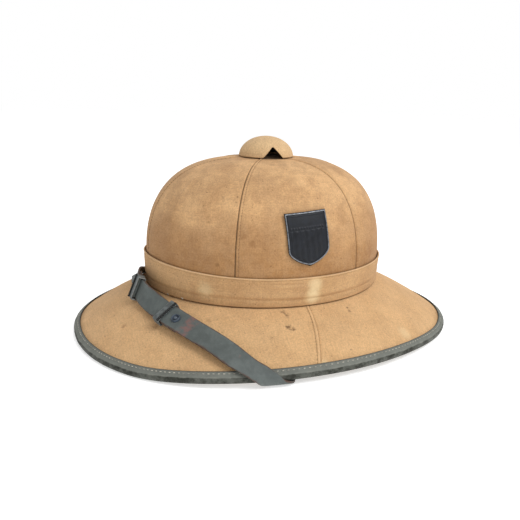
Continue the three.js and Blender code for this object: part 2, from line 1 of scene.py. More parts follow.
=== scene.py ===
"""Dresses a pith helmet's solids: canvas, pleated band, bound rim, vented button, badge and strap.

Lengths are in metres. +Z is up, -Y is the front and +X is the wearer's left. A turn is an angle round the
crown, 0 at the wearer's left and -90 degrees at the front. Stand is a height above the canvas.
"""

import math

import bmesh
import bpy
from mathutils import Matrix, Vector, noise


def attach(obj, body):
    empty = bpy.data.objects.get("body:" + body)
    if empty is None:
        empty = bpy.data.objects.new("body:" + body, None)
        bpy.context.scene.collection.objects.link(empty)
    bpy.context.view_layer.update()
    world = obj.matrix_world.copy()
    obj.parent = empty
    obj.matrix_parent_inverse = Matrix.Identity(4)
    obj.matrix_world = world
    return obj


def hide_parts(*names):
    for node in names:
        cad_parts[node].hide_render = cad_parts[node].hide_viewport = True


bl_info = {
    "name": "Pith Helmet",
    "version": (1, 0, 0),
    "blender": (4, 5, 0),
    "location": "3D View > Sidebar > Helmet",
    "description": "Dresses a pith helmet with canvas, leather and metal",
    "category": "Object",
}

MM = 0.001
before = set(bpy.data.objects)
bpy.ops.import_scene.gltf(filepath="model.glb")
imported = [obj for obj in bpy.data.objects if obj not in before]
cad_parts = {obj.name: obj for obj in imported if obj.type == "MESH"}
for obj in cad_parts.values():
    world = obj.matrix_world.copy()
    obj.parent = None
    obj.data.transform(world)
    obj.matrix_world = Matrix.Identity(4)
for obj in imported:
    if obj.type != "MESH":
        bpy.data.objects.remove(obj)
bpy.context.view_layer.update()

# Brim outline and section, the same as the solids'
BRIM_LENGTH = 335 * MM
BRIM_WIDTH = 275 * MM
BRIM_SQUARENESS = 2.12
BRIM_EGG = 0.09
BRIM_ARCH = 2 * MM
SIDE_LIFT = 4 * MM
LIFT_FROM = math.radians(55)

# Crown
CROWN_X = 86.7 * MM
CROWN_Y = 102.7 * MM
CROWN_FORWARD = 3.3 * MM
ROOT_HEIGHT = 40.9 * MM
ROOT_DIP = 1.8 * MM
ROOT_SHARE = 0.985
WALL_HEIGHT = 20.7 * MM
DOME_HEIGHT = 84 * MM
DOME_RISE = 2.52
DOME_FULLNESS = 3.17
VENT_RADIUS = 12 * MM
DOME_FOOT = ROOT_HEIGHT + WALL_HEIGHT
WALL_SHARE = 0.17  # of the meridian's steps
CROWN_TOP = DOME_FOOT + DOME_HEIGHT

# Layers
GAP = 0.3 * MM
CANVAS = 1 * MM
PITH = 4 * MM
PITH_AT_RIM = 2.2 * MM
BAND_THICKNESS = 1.6 * MM
BINDING_THICKNESS = 1 * MM
BINDING_LAP = 4.5 * MM
RIM_RADIUS = (PITH_AT_RIM + CANVAS + 3 * GAP) / 2 + BINDING_THICKNESS
COVER_ABOVE_RIM = RIM_RADIUS - BINDING_THICKNESS - GAP
SEAM_GAP = 0.35 * MM
SEAM_STRIP = 2.3 * MM  # from a seam to the stitches beside it
LAP_WAY = 0.26  # a lap's share of the way round the binding's section
BINDING_STITCHES = 266
STITCH_BACK = BINDING_LAP - 2.1 * MM

# Band heights above the root
BAND_FRONT = 27 * MM
BAND_SIDE = 23.3 * MM
BAND_BACK = 22.6 * MM
BAND_FOOT = 0.35 * MM

# Vented button
BUTTON_RADIUS = 23 * MM
BUTTON_HEIGHT = 16.8 * MM
BUTTON_WALL = 1.8 * MM
NOTCH_WIDTH = 15 * MM
NOTCH_HEIGHT = 9 * MM
NOTCH_TURN = math.radians(-5)

# Badge
BADGE_WIDTH = 34 * MM
BADGE_HEIGHT = 40 * MM
BADGE_FOOT_HEIGHT = 72.3 * MM
BADGE_SHOULDER = 0.3
BADGE_TURN = math.radians(4)

# Chin strap
STRAP_WIDTH = 16.9 * MM
STRAP_THICKNESS = 1.6 * MM
STRAP_OVERLAP = 19 * MM
STRAP_CLEARANCE = 1.1 * MM
UNDER_CLEARANCE = GAP + BINDING_THICKNESS + STRAP_CLEARANCE
LAYER_DROP = STRAP_THICKNESS + GAP
SLIDE_LEFT_AT = 66.5 * MM
SLIDE_RIGHT_AT = 20.5 * MM
SLIDE_LENGTH = 7 * MM
SLIDE_WALL = 1 * MM
SLIDE_PLAY = 0.6 * MM
STUD_FROM_SLIDE = 12.5 * MM
STUD_RADIUS = 3.7 * MM
STUD_HEIGHT = 1.7 * MM
SHANK_RADIUS = 1.2 * MM
RIVET_RADIUS = 3.6 * MM
RIVET_HEAD = 1.2 * MM
RIVET_DEPTH = 2 * MM
RIVET_FROM_END = 6.5 * MM
ROUTE_SAMPLES = 800
LAID_TO = 104 * MM  # from the strap's end, as far as it lies round the rim
FREE_FROM = 126 * MM
NARROW_TO = 94 * MM  # where it folds round the rim the leather draws in
NARROW = 0.8
STRAP_STAND = STRAP_CLEARANCE + STRAP_THICKNESS / 2  # its middle, from the binding's outer face
WRAP_LENGTH = math.pi * (RIM_RADIUS + STRAP_STAND)

# Turn in degrees, out from the crown to the rim, rise above the canvas in strap widths, and lean in degrees
STRAP_OVER_LEFT = [
    (-90, 0.1, 0.52, 42),
    (-80, 0.168, 0.64, 40),
    (-73.5, 0.202, 0.6, 35),
    (-67, 0.226, 0.5, 23),
    (-60, 0.262, 0.42, 8),
    (-54, 0.31, 0.39, 2),
    (-48, 0.37, 0.37, 1),
    (-40.5, 0.465, 0.34, 0),
    (-31, 0.635, 0.32, 0),
    (-24, 0.818, 0.27, 0),
    (-20, 0.932, 0.21, 0),
]
# The same from just past the front centre, with its turns mirrored
STRAP_OVER_RIGHT = [
    (-83, 0.088, 0.44, 36),
    (-75, 0.108, 0.32, 22),
    (-66, 0.15, 0.2, 6),
    (-58, 0.24, 0.15, 0),
    (-49, 0.36, 0.13, 0),
    (-40, 0.5, 0.14, 0),
    (-31, 0.66, 0.18, 0),
    (-24, 0.81, 0.21, 0),
    (-20, 0.94, 0.21, 0),
]
# Turn and angle above the outward level, in degrees
STRAP_ROUND = [(-17.5, 57), (-16, 12), (-14.5, -30), (-13.1, -74), (-11.3, -123)]
# Turn in degrees and out
STRAP_UNDER = [(-9.6, 0.8), (-6.2, 0.565), (-1.9, 0.35), (1.4, 0.21), (3.9, 0.12)]

GORES = ["left", "back_left", "back_right", "right", "front_right", "front_left"]
GORE_TURN = math.tau / len(GORES)
GORE_LENGTH = 185 * MM  # along the crown, from its root to the vent
CREASE_TURN = math.radians(-66.4)


# Shapes of the helmet


def clamp(value):
    return max(0.0, min(1.0, value))


def ease(value, low, high):
    share = clamp((value - low) / (high - low))
    return share * share * (3 - 2 * share)


def lerp(a, b, share):
    return a + (b - a) * share


def hump(distance, width):
    """A smooth bump, 1 at no distance and all but 0 beyond twice the width."""
    return math.exp(-((distance / width) ** 2))


def signed_power(value, power):
    return math.copysign(abs(value) ** power, value)


def sway(point, size, seed):
    """Smooth unevenness between -1 and 1 with bumps of about that size."""
    return noise.noise(point / size + Vector((seed, 2 * seed, -seed)))


def root_height(turn):
    return ROOT_HEIGHT - ROOT_DIP * math.cos(turn) ** 2


def crown_share(height, stand):
    if height <= DOME_FOOT:
        return lerp(ROOT_SHARE, 1, (height - ROOT_HEIGHT) / WALL_HEIGHT)
    rise = min(1, (height - DOME_FOOT) / (DOME_HEIGHT + stand))
    return (1 - rise**DOME_RISE) ** (1 / DOME_FULLNESS)


def crown_place(turn, share, height, stand):
    return Vector(
        (
            (CROWN_X + stand) * share * math.cos(turn),
            (CROWN_Y + stand) * share * math.sin(turn) - CROWN_FORWARD,
            height,
        )
    )


def crown_point(turn, height, stand):
    return crown_place(turn, crown_share(height, stand), height, stand)


VENT_ANGLE = math.acos((VENT_RADIUS / CROWN_Y) ** (DOME_FULLNESS / 2))


def meridian(turn, way, stand, foot=0.0):
    """Point on the crown, way running from 0 at its root to 1 at the vent."""
    if way < WALL_SHARE:
        height = lerp(root_height(turn) + foot, DOME_FOOT, way / WALL_SHARE)
        return crown_point(turn, height, stand)
    angle = VENT_ANGLE * (way - WALL_SHARE) / (1 - WALL_SHARE)
    height = DOME_FOOT + math.sin(angle) ** (2 / DOME_RISE) * (DOME_HEIGHT + stand)
    return crown_place(turn, math.cos(angle) ** (2 / DOME_FULLNESS), height, stand)


class BrimSection:
    """The brim's root, the middle of its rim's turn, and the directions between them, at a turn."""

    def __init__(self, turn):
        self.root = crown_point(turn, root_height(turn), 0)
        power = 2 / BRIM_SQUARENESS
        egg = 1 - BRIM_EGG * math.sin(turn)
        lift = SIDE_LIFT * ease(abs(math.cos(turn)), math.cos(LIFT_FROM), 1)
        self.rim = Vector(
            (
                (BRIM_WIDTH / 2 - RIM_RADIUS) * signed_power(math.cos(turn), power) * egg,
                (BRIM_LENGTH / 2 - RIM_RADIUS) * signed_power(math.sin(turn), power),
                lift + RIM_RADIUS,
            )
        )
        self.away = Vector((self.rim.x - self.root.x, self.rim.y - self.root.y, 0))
        self.slope = math.atan2(self.root.z - self.rim.z, self.away.length)
        self.away.normalize()
        level = Vector((0, 0, 1))
        self.up = self.away * math.sin(self.slope) + level * math.cos(self.slope)
        self.down = self.away * math.cos(self.slope) - level * math.sin(self.slope)
        self.reach = (self.rim - self.root).length

    @classmethod
    def at(cls, degrees):
        return cls(math.radians(degrees))

    def top(self, out, stand):
        """Point on the brim, out running from 0 at the crown to 1 at the rim."""
        edge = self.rim + self.up * COVER_ABOVE_RIM
        arch = BRIM_ARCH * 4 * out * (1 - out)
        return self.root.lerp(edge, out) + self.up * (arch + stand)

    def round(self, angle, radius):
        """Point round the rim's turn, at an angle above the outward level."""
        return self.rim + self.away * radius * math.cos(angle) + Vector((0, 0, radius * math.sin(angle)))

    def bottom(self, out, stand):
        """Point below the brim, out as above, stand below the pith."""
        depth = CANVAS + GAP + lerp(PITH, PITH_AT_RIM, out)
        return self.top(out, -depth - stand)


# The strap's route


def catmull_rom(points, samples):
    """Points spread evenly over the spans of a smooth line through the given ones."""
    led = [points[0] * 2 - points[1], *points, points[-1] * 2 - points[-2]]
    spans = len(points) - 1
    made = []
    for i in range(samples + 1):
        place = i / samples * spans
        n = min(int(place), spans - 1)
        t = place - n
        a, b, c, d = led[n : n + 4]
        made.append(
            b
            + (c - a) * (0.5 * t)
            + (a * 2 - b * 5 + c * 4 - d) * (0.5 * t * t)
            + (b * 3 - a - c * 3 + d) * (0.5 * t**3)
        )
    return made


def strap_stations(over_brim):
    """(point, outward normal, ruling or None) from the front centre to the left rivet."""
    made = []
    for turn, out, rise, lean in over_brim:
        part = BrimSection.at(turn)
        tilt = math.radians(lean)
        normal = part.up * math.cos(tilt) + part.down * math.sin(tilt)
        made.append((part.top(out, rise * STRAP_WIDTH), normal, None))
    for turn, angle in STRAP_ROUND:
        part = BrimSection.at(turn)
        point = part.round(math.radians(angle), RIM_RADIUS + STRAP_STAND)
        along_rim = BrimSection.at(turn - 1).rim - BrimSection.at(turn + 1).rim
        made.append((point, (point - part.rim).normalized(), along_rim.normalized()))
    for turn, out in STRAP_UNDER:
        part = BrimSection.at(turn)
        made.append((part.bottom(out, UNDER_CLEARANCE + STRAP_THICKNESS / 2), -part.up, None))
    return made


def mirrored(vector):
    return vector and Vector((-vector.x, vector.y, vector.z))


def rim_surface(turn, past, stand):
    """Point on or round the rim, past the brim's top edge by a distance, stand from the binding's face."""
    part = BrimSection(turn)
    over = GAP + BINDING_THICKNESS + stand
    if past < 0:
        return part.top(1 + past / part.reach, over)
    if past < WRAP_LENGTH:
        return part.round(math.pi / 2 - part.slope - past / WRAP_LENGTH * math.pi, RIM_RADIUS + stand)
    return part.bottom(1 - (past - WRAP_LENGTH) / part.reach, over)


def flat_stations(over_brim):
    """The strap's stations laid flat: (turn, distance past the brim's top edge, stand)."""
    made = []
    for turn, out, rise, _ in over_brim:
        past = (out - 1) * BrimSection.at(turn).reach
        made.append((turn, past, rise * STRAP_WIDTH - GAP - BINDING_THICKNESS))
    for turn, angle in STRAP_ROUND:
        share = (math.pi / 2 - BrimSection.at(turn).slope - math.radians(angle)) / math.pi
        made.append((turn, share * WRAP_LENGTH, STRAP_STAND))
    for turn, out in STRAP_UNDER:
        made.append((turn, WRAP_LENGTH + (1 - out) * BrimSection.at(turn).reach, STRAP_STAND))
    return [Vector((math.radians(turn), past, stand)) for turn, past, stand in made]


class StrapRoute:
    """The strap's middle line from the left rivet to the right one, with its normals and rulings."""

    def __init__(self):
        left = strap_stations(STRAP_OVER_LEFT)
        right = [tuple(mirrored(v) for v in station) for station in strap_stations(STRAP_OVER_RIGHT)]
        stations = left[::-1] + right
        last = len(stations) - 1
        rulings = []
        for i, (_, normal, ruling) in enumerate(stations):
            run = stations[min(last, i + 1)][0] - stations[max(0, i - 1)][0]
            across = run.cross(normal).normalized()
            if ruling is None:
                rulings.append(across)
            else:
                rulings.append(-ruling if ruling.dot(across) < 0 else ruling)
        self.points = catmull_rom([s[0] for s in stations], ROUTE_SAMPLES)
        self.normals = catmull_rom([s[1] for s in stations], ROUTE_SAMPLES)
        self.rulings = catmull_rom(rulings, ROUTE_SAMPLES)
        flat = flat_stations(STRAP_OVER_LEFT)[::-1]
        for turn, past, stand in flat_stations(STRAP_OVER_RIGHT):
            flat.append(Vector((-math.pi - turn, past, stand)))
        self.flat = catmull_rom(flat, ROUTE_SAMPLES)
        self.reach = [0.0]
        for a, b in zip(self.points, self.points[1:]):
            self.reach.append(self.reach[-1] + (b - a).length)
        self.length = self.reach[-1]
        self.front = self.reach[round((len(left) - 1) / last * ROUTE_SAMPLES)]

    def sample(self, distance):
        """(number of the sample past a distance, share of the way there from the one before)"""
        i = max(1, next((n for n, r in enumerate(self.reach) if r >= distance), ROUTE_SAMPLES))
        return i, (distance - self.reach[i - 1]) / (self.reach[i] - self.reach[i - 1])

    def at(self, distance):
        """(point, direction, normal, half of the ruling) at a distance along the route."""
        i, share = self.sample(distance)
        point = self.points[i - 1].lerp(self.points[i], share)
        near = max(1, i - 2)
        far = min(ROUTE_SAMPLES, i + 1)
        along = (self.points[far] - self.points[near - 1]).normalized()
        rough = self.normals[i - 1].lerp(self.normals[i], share)
        normal = (rough - along * rough.dot(along)).normalized()
        ruling = self.rulings[i - 1].lerp(self.rulings[i], share)
        ruling = (ruling - normal * ruling.dot(normal)).normalized()
        half = ruling * (STRAP_WIDTH / 2 / along.cross(ruling).length)
        return point, along, normal, half

    def spot(self, distance, across, level):
        """Point of the strap, across from -1 to 1; near the rim it is laid round it like a flat strip."""
        point, _, normal, half = self.at(distance)
        free = point + half * across + normal * level
        from_end = min(distance, self.length - distance)
        wrapped = 1 - ease(from_end, LAID_TO, FREE_FROM)
        if wrapped == 0:
            return free
        i, share = self.sample(distance)
        turn, past, stand = self.flat[i - 1].lerp(self.flat[i], share)
        run = self.flat[min(ROUTE_SAMPLES, i + 3)] - self.flat[max(0, i - 4)]
        step = 0.01
        beside = rim_surface(turn + step, past, stand) - rim_surface(turn - step, past, stand)
        wide = beside.length / (2 * step)
        run = Vector((run.x * wide, run.y)).normalized()
        aside = across * STRAP_WIDTH / 2 * lerp(NARROW, 1, ease(from_end, NARROW_TO, FREE_FROM))
        laid = rim_surface(turn - aside * run.y / wide, past + aside * run.x, stand + level)
        return free.lerp(laid, wrapped)

    def matrix(self, distance, level):
        """Takes a piece made about the origin, X along the strap and Z outward, to its place."""
        point, along, normal, _ = self.at(distance)
        side = normal.cross(along)
        turned = Matrix((along, side, normal)).transposed().to_4x4()
        return Matrix.Translation(point + normal * level) @ turned


route = StrapRoute()
SLIDE_LEFT = route.front - SLIDE_LEFT_AT
SLIDE_RIGHT = route.front - SLIDE_RIGHT_AT
STUD_LEFT = SLIDE_LEFT - STUD_FROM_SLIDE
STUD_RIGHT = SLIDE_RIGHT + STUD_FROM_SLIDE


# Mesh helpers


def grid(columns, rows, place, span, around=False):
    """A bmesh grid laid by place(u, v), u and v from 0 to 1, with a UV map of the grid times span, in metres.

    The place function gives a point, or a point and its mark: 1 for a dark line, -1 for a pale one.
    """
    bm = bmesh.new()
    bmesh.ops.create_grid(bm, x_segments=columns, y_segments=rows, size=0.5)
    uv = bm.loops.layers.uv.new("Cloth")
    for face in bm.faces:
        for loop in face.loops:
            loop[uv].uv = ((loop.vert.co.x + 0.5) * span[0], (loop.vert.co.y + 0.5) * span[1])
    marks = bm.verts.layers.float.new("Mark")
    for vert in bm.verts:
        placed = place(vert.co.x + 0.5, vert.co.y + 0.5)
        if isinstance(placed, tuple):
            placed, vert[marks] = placed
        vert.co = placed
    if around:
        bmesh.ops.remove_doubles(bm, verts=bm.verts, dist=1e-6)
    return bm


def gathered(share, strength):
    """Shares drawn towards 0 and 1, so that columns lie close together beside seams."""
    return share - strength * math.sin(math.tau * share)


def piece(name, bm, materials, slot, *nodes):
    """Turns a bmesh into a finished piece that rides on the helmet and stands for CAD nodes."""
    mesh = bpy.data.meshes.new(name)
    for face in bm.faces:
        face.smooth = True
    bm.to_mesh(mesh)
    bm.free()
    made = bpy.data.objects.new(name, mesh)
    bpy.context.scene.collection.objects.link(made)
    for key in materials:
        mesh.materials.append(helmet_material(key))
    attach(made, "root")
    if nodes:
        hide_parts(*nodes)
    return made


def thicken(made, thickness, inner_material=0):
    """Gives a sheet its thickness, inwards from its outer face."""
    solid = made.modifiers.new("Thickness", "SOLIDIFY")
    solid.thickness = thickness
    solid.offset = -1
    solid.use_even_offset = False
    solid.material_offset = inner_material


def soften(made, width):
    """Rounds a piece's sharp edges."""
    edge = made.modifiers.new("Edges", "BEVEL")
    edge.width = width
    edge.segments = 2
    edge.limit_method = "ANGLE"
    edge.angle_limit = math.radians(40)
    edge.harden_normals = False


def stitches(name, places, size, material, slot):
    """One piece of many stitches; each place is (middle, direction, outward normal)."""
    bm = bmesh.new()
    for middle, along, normal in places:
        side = normal.cross(along).normalized()
        turned = Matrix((along.normalized(), side, normal.normalized())).transposed().to_4x4()
        scale = Matrix.Diagonal((size[0] / 2, size[1] / 2, size[2] / 2, 1))
        matrix = Matrix.Translation(middle) @ turned @ scale
        bmesh.ops.create_icosphere(bm, subdivisions=1, radius=1, matrix=matrix)
    piece(name, bm, [material], slot)


def spun(profile, steps):
    """A bmesh of revolution about Z from (radius, height) pairs that start and end on the axis."""
    bm = bmesh.new()
    verts = [bm.verts.new((r, 0, z)) for r, z in profile]
    edges = [bm.edges.new(pair) for pair in zip(verts, verts[1:])]
    turn = {"cent": (0, 0, 0), "axis": (0, 0, 1), "angle": math.tau, "steps": steps, "use_merge": True}
    bmesh.ops.spin(bm, geom=verts + edges, **turn)
    bmesh.ops.remove_doubles(bm, verts=bm.verts, dist=1e-7)
    bmesh.ops.recalc_face_normals(bm, faces=bm.faces)
    return bm


# Material helpers


def feed(tree, node, inputs):
    """Gives a node its inputs: a socket's name or number maps to a value or to another node's output."""
    for socket, value in inputs.items():
        if isinstance(value, bpy.types.NodeSocket):
            tree.links.new(value, node.inputs[socket])
        else:
            node.inputs[socket].default_value = value


def wire(tree, kind, inputs, **settings):
    """A new node with its settings and inputs."""
    made = tree.nodes.new(kind)
    for key, value in settings.items():
        setattr(made, key, value)
    feed(tree, made, inputs)
    return made


def calc(tree, operation, a, b=0.0):
    return wire(tree, "ShaderNodeMath", {0: a, 1: b}, operation=operation).outputs[0]


def times(tree, a, b):
    return calc(tree, "MULTIPLY", a, b)


def plus(tree, a, b):
    return calc(tree, "ADD", a, b)


def minus(tree, a, b):
    return calc(tree, "SUBTRACT", a, b)


def remap(tree, value, low, high, to_low=0.0, to_high=1.0):
    inputs = {"Value": value, "From Min": low, "From Max": high, "To Min": to_low, "To Max": to_high}
    return wire(tree, "ShaderNodeMapRange", inputs, interpolation_type="SMOOTHSTEP").outputs[0]


def mix(tree, factor, a, b, mode="MIX"):
    inputs = {0: factor, 6: a, 7: b}
    return wire(tree, "ShaderNodeMix", inputs, data_type="RGBA", blend_type=mode).outputs[2]


def tint(tree, base, mask, strength, colour):
    """Lays a colour over the base by a mask."""
    return mix(tree, times(tree, mask, strength), base, colour)


def speckle(tree, vector, scale, detail=3.0, roughness=0.6):
    inputs = {"Vector": vector, "Scale": scale, "Detail": detail, "Roughness": roughness}
    return wire(tree, "ShaderNodeTexNoise", inputs).outputs[0]


def wander(tree, vector, scale, detail, width, roughness=0.6):
    """Noise about 0; width is the whole of its range."""
    return times(tree, minus(tree, speckle(tree, vector, scale, detail, roughness), 0.5), width)


def stretched(tree, vector, x, y):
    return wire(tree, "ShaderNodeMapping", {"Vector": vector, "Scale": (x, y, 1.0)}).outputs[0]


def split(tree, vector):
    return wire(tree, "ShaderNodeSeparateXYZ", {0: vector}).outputs


def attribute(tree, name):
    return wire(tree, "ShaderNodeAttribute", {}, attribute_name=name).outputs["Fac"]


def new_group(name, inputs, outputs):
    """A new node group with vector or float inputs and float outputs: (group, its inputs, its outputs)"""
    group = bpy.data.node_groups.new(name, "ShaderNodeTree")
    for label in inputs:
        kind = "NodeSocketVector" if label in ("Vector", "Middle") else "NodeSocketFloat"
        group.interface.new_socket(label, in_out="INPUT", socket_type=kind)
    for label in outputs:
        group.interface.new_socket(label, in_out="OUTPUT", socket_type="NodeSocketFloat")
    given = group.nodes.new("NodeGroupInput").outputs
    result = group.nodes.new("NodeGroupOutput").inputs
    return group, given, result


def use_group(tree, key, inputs):
    return wire(tree, "ShaderNodeGroup", inputs, node_tree=helmet_groups()[key]).outputs


def stains(tree, vector, size, spread):
    return use_group(tree, "stain", {"Vector": vector, "Size": size, "Spread": spread})["Mask"]


def new_material(name):
    """(material, its tree, its Principled shader)"""
    made = bpy.data.materials.new(name)
    made.use_nodes = True
    tree = made.node_tree
    return made, tree, tree.nodes["Principled BSDF"]


def bump(tree, shader, height, distance, strength):
    made = wire(tree, "ShaderNodeBump", {"Height": height, "Distance": distance, "Strength": strength})
    tree.links.new(made.outputs[0], shader.inputs["Normal"])


def coordinates(tree):
    """(object coordinates, cloth coordinates in metres)"""
    object_vector = tree.nodes.new("ShaderNodeTexCoord").outputs["Object"]
    cloth = wire(tree, "ShaderNodeUVMap", {}, uv_map="Cloth").outputs[0]
    return object_vector, cloth


def weave_group():
    """Plain weave of warp and weft threads with slubs."""
    group, given, result = new_group("Weave", ["Vector", "Thread"], ["Height", "Streaks"])
    waves = []
    bodies = []
    for part in split(group, given["Vector"])[:2]:
        wave = calc(group, "SINE", times(group, calc(group, "DIVIDE", part, given["Thread"]), math.pi))
        waves.append(wave)
        bodies.append(calc(group, "POWER", calc(group, "ABSOLUTE", wave), 0.7))
    over = remap(group, times(group, *waves), -0.25, 0.25)
    one = times(group, bodies[0], over)
    other = times(group, bodies[1], minus(group, 1.0, over))
    slub_x = speckle(group, stretched(group, given["Vector"], 60, 900), 1.0, 2.0)
    slub_y = speckle(group, stretched(group, given["Vector"], 900, 60), 1.0, 2.0)
    group.links.new(plus(group, one, other), result["Height"])
    group.links.new(plus(group, times(group, slub_x, 0.6), times(group, slub_y, 0.4)), result["Streaks"])
    return group


def stain_group():
    """Soft blotches of two sizes, 0 to 1."""
    group, given, result = new_group("Stains", ["Vector", "Size", "Spread"], ["Mask"])
    scale = calc(group, "DIVIDE", 1.0, given["Size"])
    large = speckle(group, given["Vector"], scale, 4.0, 0.6)
    small = speckle(group, given["Vector"], times(group, scale, 4.3), 3.0, 0.6)
    both = plus(group, times(group, large, 0.7), times(group, small, 0.3))
    high = plus(group, 0.5, given["Spread"])
    low = minus(group, 0.5, given["Spread"])
    group.links.new(remap(group, both, low, high), result["Mask"])
    return group


def grain_group():
    """Fine creased grain of leather."""
    group, given, result = new_group("Leather Grain", ["Vector", "Size"], ["Height", "Pores"])
    scale = calc(group, "DIVIDE", 1.0, given["Size"])
    inputs = {"Vector": given["Vector"], "Scale": scale, "Randomness": 1.0}
    cells = wire(group, "ShaderNodeTexVoronoi", inputs, feature="DISTANCE_TO_EDGE").outputs["Distance"]
    creases = remap(group, cells, 0.0, 0.25)
    fine = speckle(group, given["Vector"], times(group, scale, 2.0), 4.0, 0.7)
    height = plus(group, times(group, creases, 0.6), times(group, fine, 0.5))
    group.links.new(height, result["Height"])
    group.links.new(remap(group, fine, 0.55, 0.75), result["Pores"])
    return group


def shade_of(colour, factor):
    return (colour[0] * factor, colour[1] * factor, colour[2] * factor, 1)


def spot_group():
    """A ragged spot about a middle, 1 inside."""
    group, given, result = new_group("Spot", ["Vector", "Middle", "Size", "Ragged"], ["Mask"])
    away = wire(group, "ShaderNodeVectorMath", {0: given["Vector"], 1: given["Middle"]}, operation="DISTANCE")
    ragged = wander(group, given["Vector"], 420.0, 4.0, given["Ragged"], 0.7)
    share = plus(group, calc(group, "DIVIDE", away.outputs["Value"], given["Size"]), ragged)
    group.links.new(remap(group, share, 0.15, 1.0, 1.0, 0.0), result["Mask"])
    return group


def brightened(tree, base, factor):
    grey = wire(tree, "ShaderNodeCombineColor", {0: factor, 1: factor, 2: factor}).outputs[0]
    return mix(tree, 1.0, base, grey, "MULTIPLY")


def canvas_material(name, colour, low_colour, fade, stain, thread, spots=()):
    """Woven cloth, darker below the fade's heights, with blotches, slubs, flecks, worn spots and the Mark's
    lines: dark ones are painted shade in seams, folds, along the band's and button's feet and under the
    button, and among the pale ones is a painted highlight on the crown's crease.

    Each spot is (middle, size in mm, colour, strength, raggedness).
    """
    made, tree, shader = new_material(name)
    place, cloth = coordinates(tree)
    weave = use_group(tree, "weave", {"Vector": cloth, "Thread": thread})
    height = split(tree, place)[2]
    uneven = wander(tree, place, 24.0, 4.0, 0.05)
    low = remap(tree, plus(tree, height, uneven), fade[0], fade[1], 1.0, 0.0)
    base = mix(tree, low, (*colour, 1), (*low_colour, 1))
    blotch = stains(tree, place, 0.03, 0.12)
    base = tint(tree, base, blotch, stain, shade_of(BROWN_STAIN, 1))
    fine = stains(tree, place, 0.008, 0.14)
    base = tint(tree, base, fine, stain * 0.55, shade_of(BROWN_STAIN, 1.1))
    pale = stains(tree, place, 0.016, 0.1)
    base = tint(tree, base, pale, 0.12, (0.86, 0.6, 0.34, 1))
    streaks = remap(tree, weave["Streaks"], 0.34, 0.66, 0.94, 1.05)
    grain = remap(tree, speckle(tree, place, 850.0, 3.0), 0.3, 0.7, 0.88, 1.11)
    base = brightened(tree, brightened(tree, base, streaks), grain)
    fleck = remap(tree, speckle(tree, place, 520.0, 1.0), 0.7, 0.78)
    base = tint(tree, base, fleck, 0.5, (0.1, 0.05, 0.022, 1))
    for middle, size, spot_colour, strength, ragged in spots:
        inputs = {"Vector": place, "Middle": middle, "Size": size * MM, "Ragged": ragged}
        spot = use_group(tree, "spot", inputs)
        base = tint(tree, base, spot["Mask"], strength, (*spot_colour, 1))
    # The Mark's dark lines paint shade in seams, folds, along feet and under the button; its pale lines
    # include a painted highlight on the crown's crease.
    line = attribute(tree, "Mark")
    base = tint(tree, base, remap(tree, line, 0, 1), 0.86, (0.05, 0.026, 0.013, 1))
    base = tint(tree, base, remap(tree, line, -1, 0, 1, 0), 0.5, (0.84, 0.6, 0.36, 1))
    feed(tree, shader, {"Base Color": base, "Roughness": remap(tree, blotch, 0, 1, 0.95, 0.84)})
    feed(tree, shader, {"Sheen Weight": 0.04, "Sheen Roughness": 0.6, "Specular IOR Level": 0.2})
    relief = plus(tree, weave["Height"], times(tree, weave["Streaks"], 0.5))
    bump(tree, shader, relief, 0.1 * MM, 0.5)
    return made


def thread_material(name, colour):
    made, tree, shader = new_material(name)
    place, _ = coordinates(tree)
    dirt = remap(tree, speckle(tree, place, 160.0, 2.0), 0.35, 0.7)
    base = mix(tree, dirt, (*colour, 1), shade_of(colour, 0.45))
    feed(tree, shader, {"Base Color": base, "Roughness": 0.9})
    bump(tree, shader, speckle(tree, place, 2500.0, 1.0), 0.1 * MM, 0.4)
    return made


def painted_leather_material(name, colour, edge_colour, worn_colour, width, patch):
    """Painted leather worn through at its edges and rubbed at a patch: (distance along it, length)."""
    made, tree, shader = new_material(name)
    place, cloth = coordinates(tree)
    grain = use_group(tree, "grain", {"Vector": place, "Size": 0.9 * MM})
    parts = split(tree, cloth)
    from_middle = calc(tree, "ABSOLUTE", minus(tree, parts[1], width / 2))
    uneven = wander(tree, place, 130.0, 4.0, 3.2 * MM)
    edge = remap(tree, plus(tree, from_middle, uneven), width / 2 - 1.1 * MM, width / 2 + 0.1 * MM)
    blotch = stains(tree, place, 0.012, 0.12)
    base = mix(tree, blotch, (*colour, 1), shade_of(colour, 1.3))
    dark = stains(tree, place, 0.03, 0.1)
    base = tint(tree, base, dark, 0.35, shade_of(colour, 0.6))
    base = tint(tree, base, grain["Pores"], 0.25, shade_of(colour, 0.55))
    from_patch = calc(tree, "ABSOLUTE", minus(tree, parts[0], patch[0]))
    rubbed = remap(tree, plus(tree, from_patch, uneven), patch[1] * 0.35, patch[1] * 0.75, 1, 0)
    thin = remap(tree, speckle(tree, place, 210.0, 4.0), 0.38, 0.62)
    base = tint(tree, base, times(tree, rubbed, thin), 0.85, (*worn_colour, 1))
    scuff = remap(tree, speckle(tree, place, 75.0, 6.0, 0.75), 0.62, 0.72)
    base = tint(tree, base, scuff, 0.35, (*worn_colour, 1))
    base = tint(tree, base, edge, 0.85, (*edge_colour, 1))
    rough = remap(tree, grain["Height"], 0, 1, 0.75, 0.5)
    feed(tree, shader, {"Base Color": base, "Roughness": rough, "Specular IOR Level": 0.35})
    bump(tree, shader, grain["Height"], 0.12 * MM, 0.45)
    return made


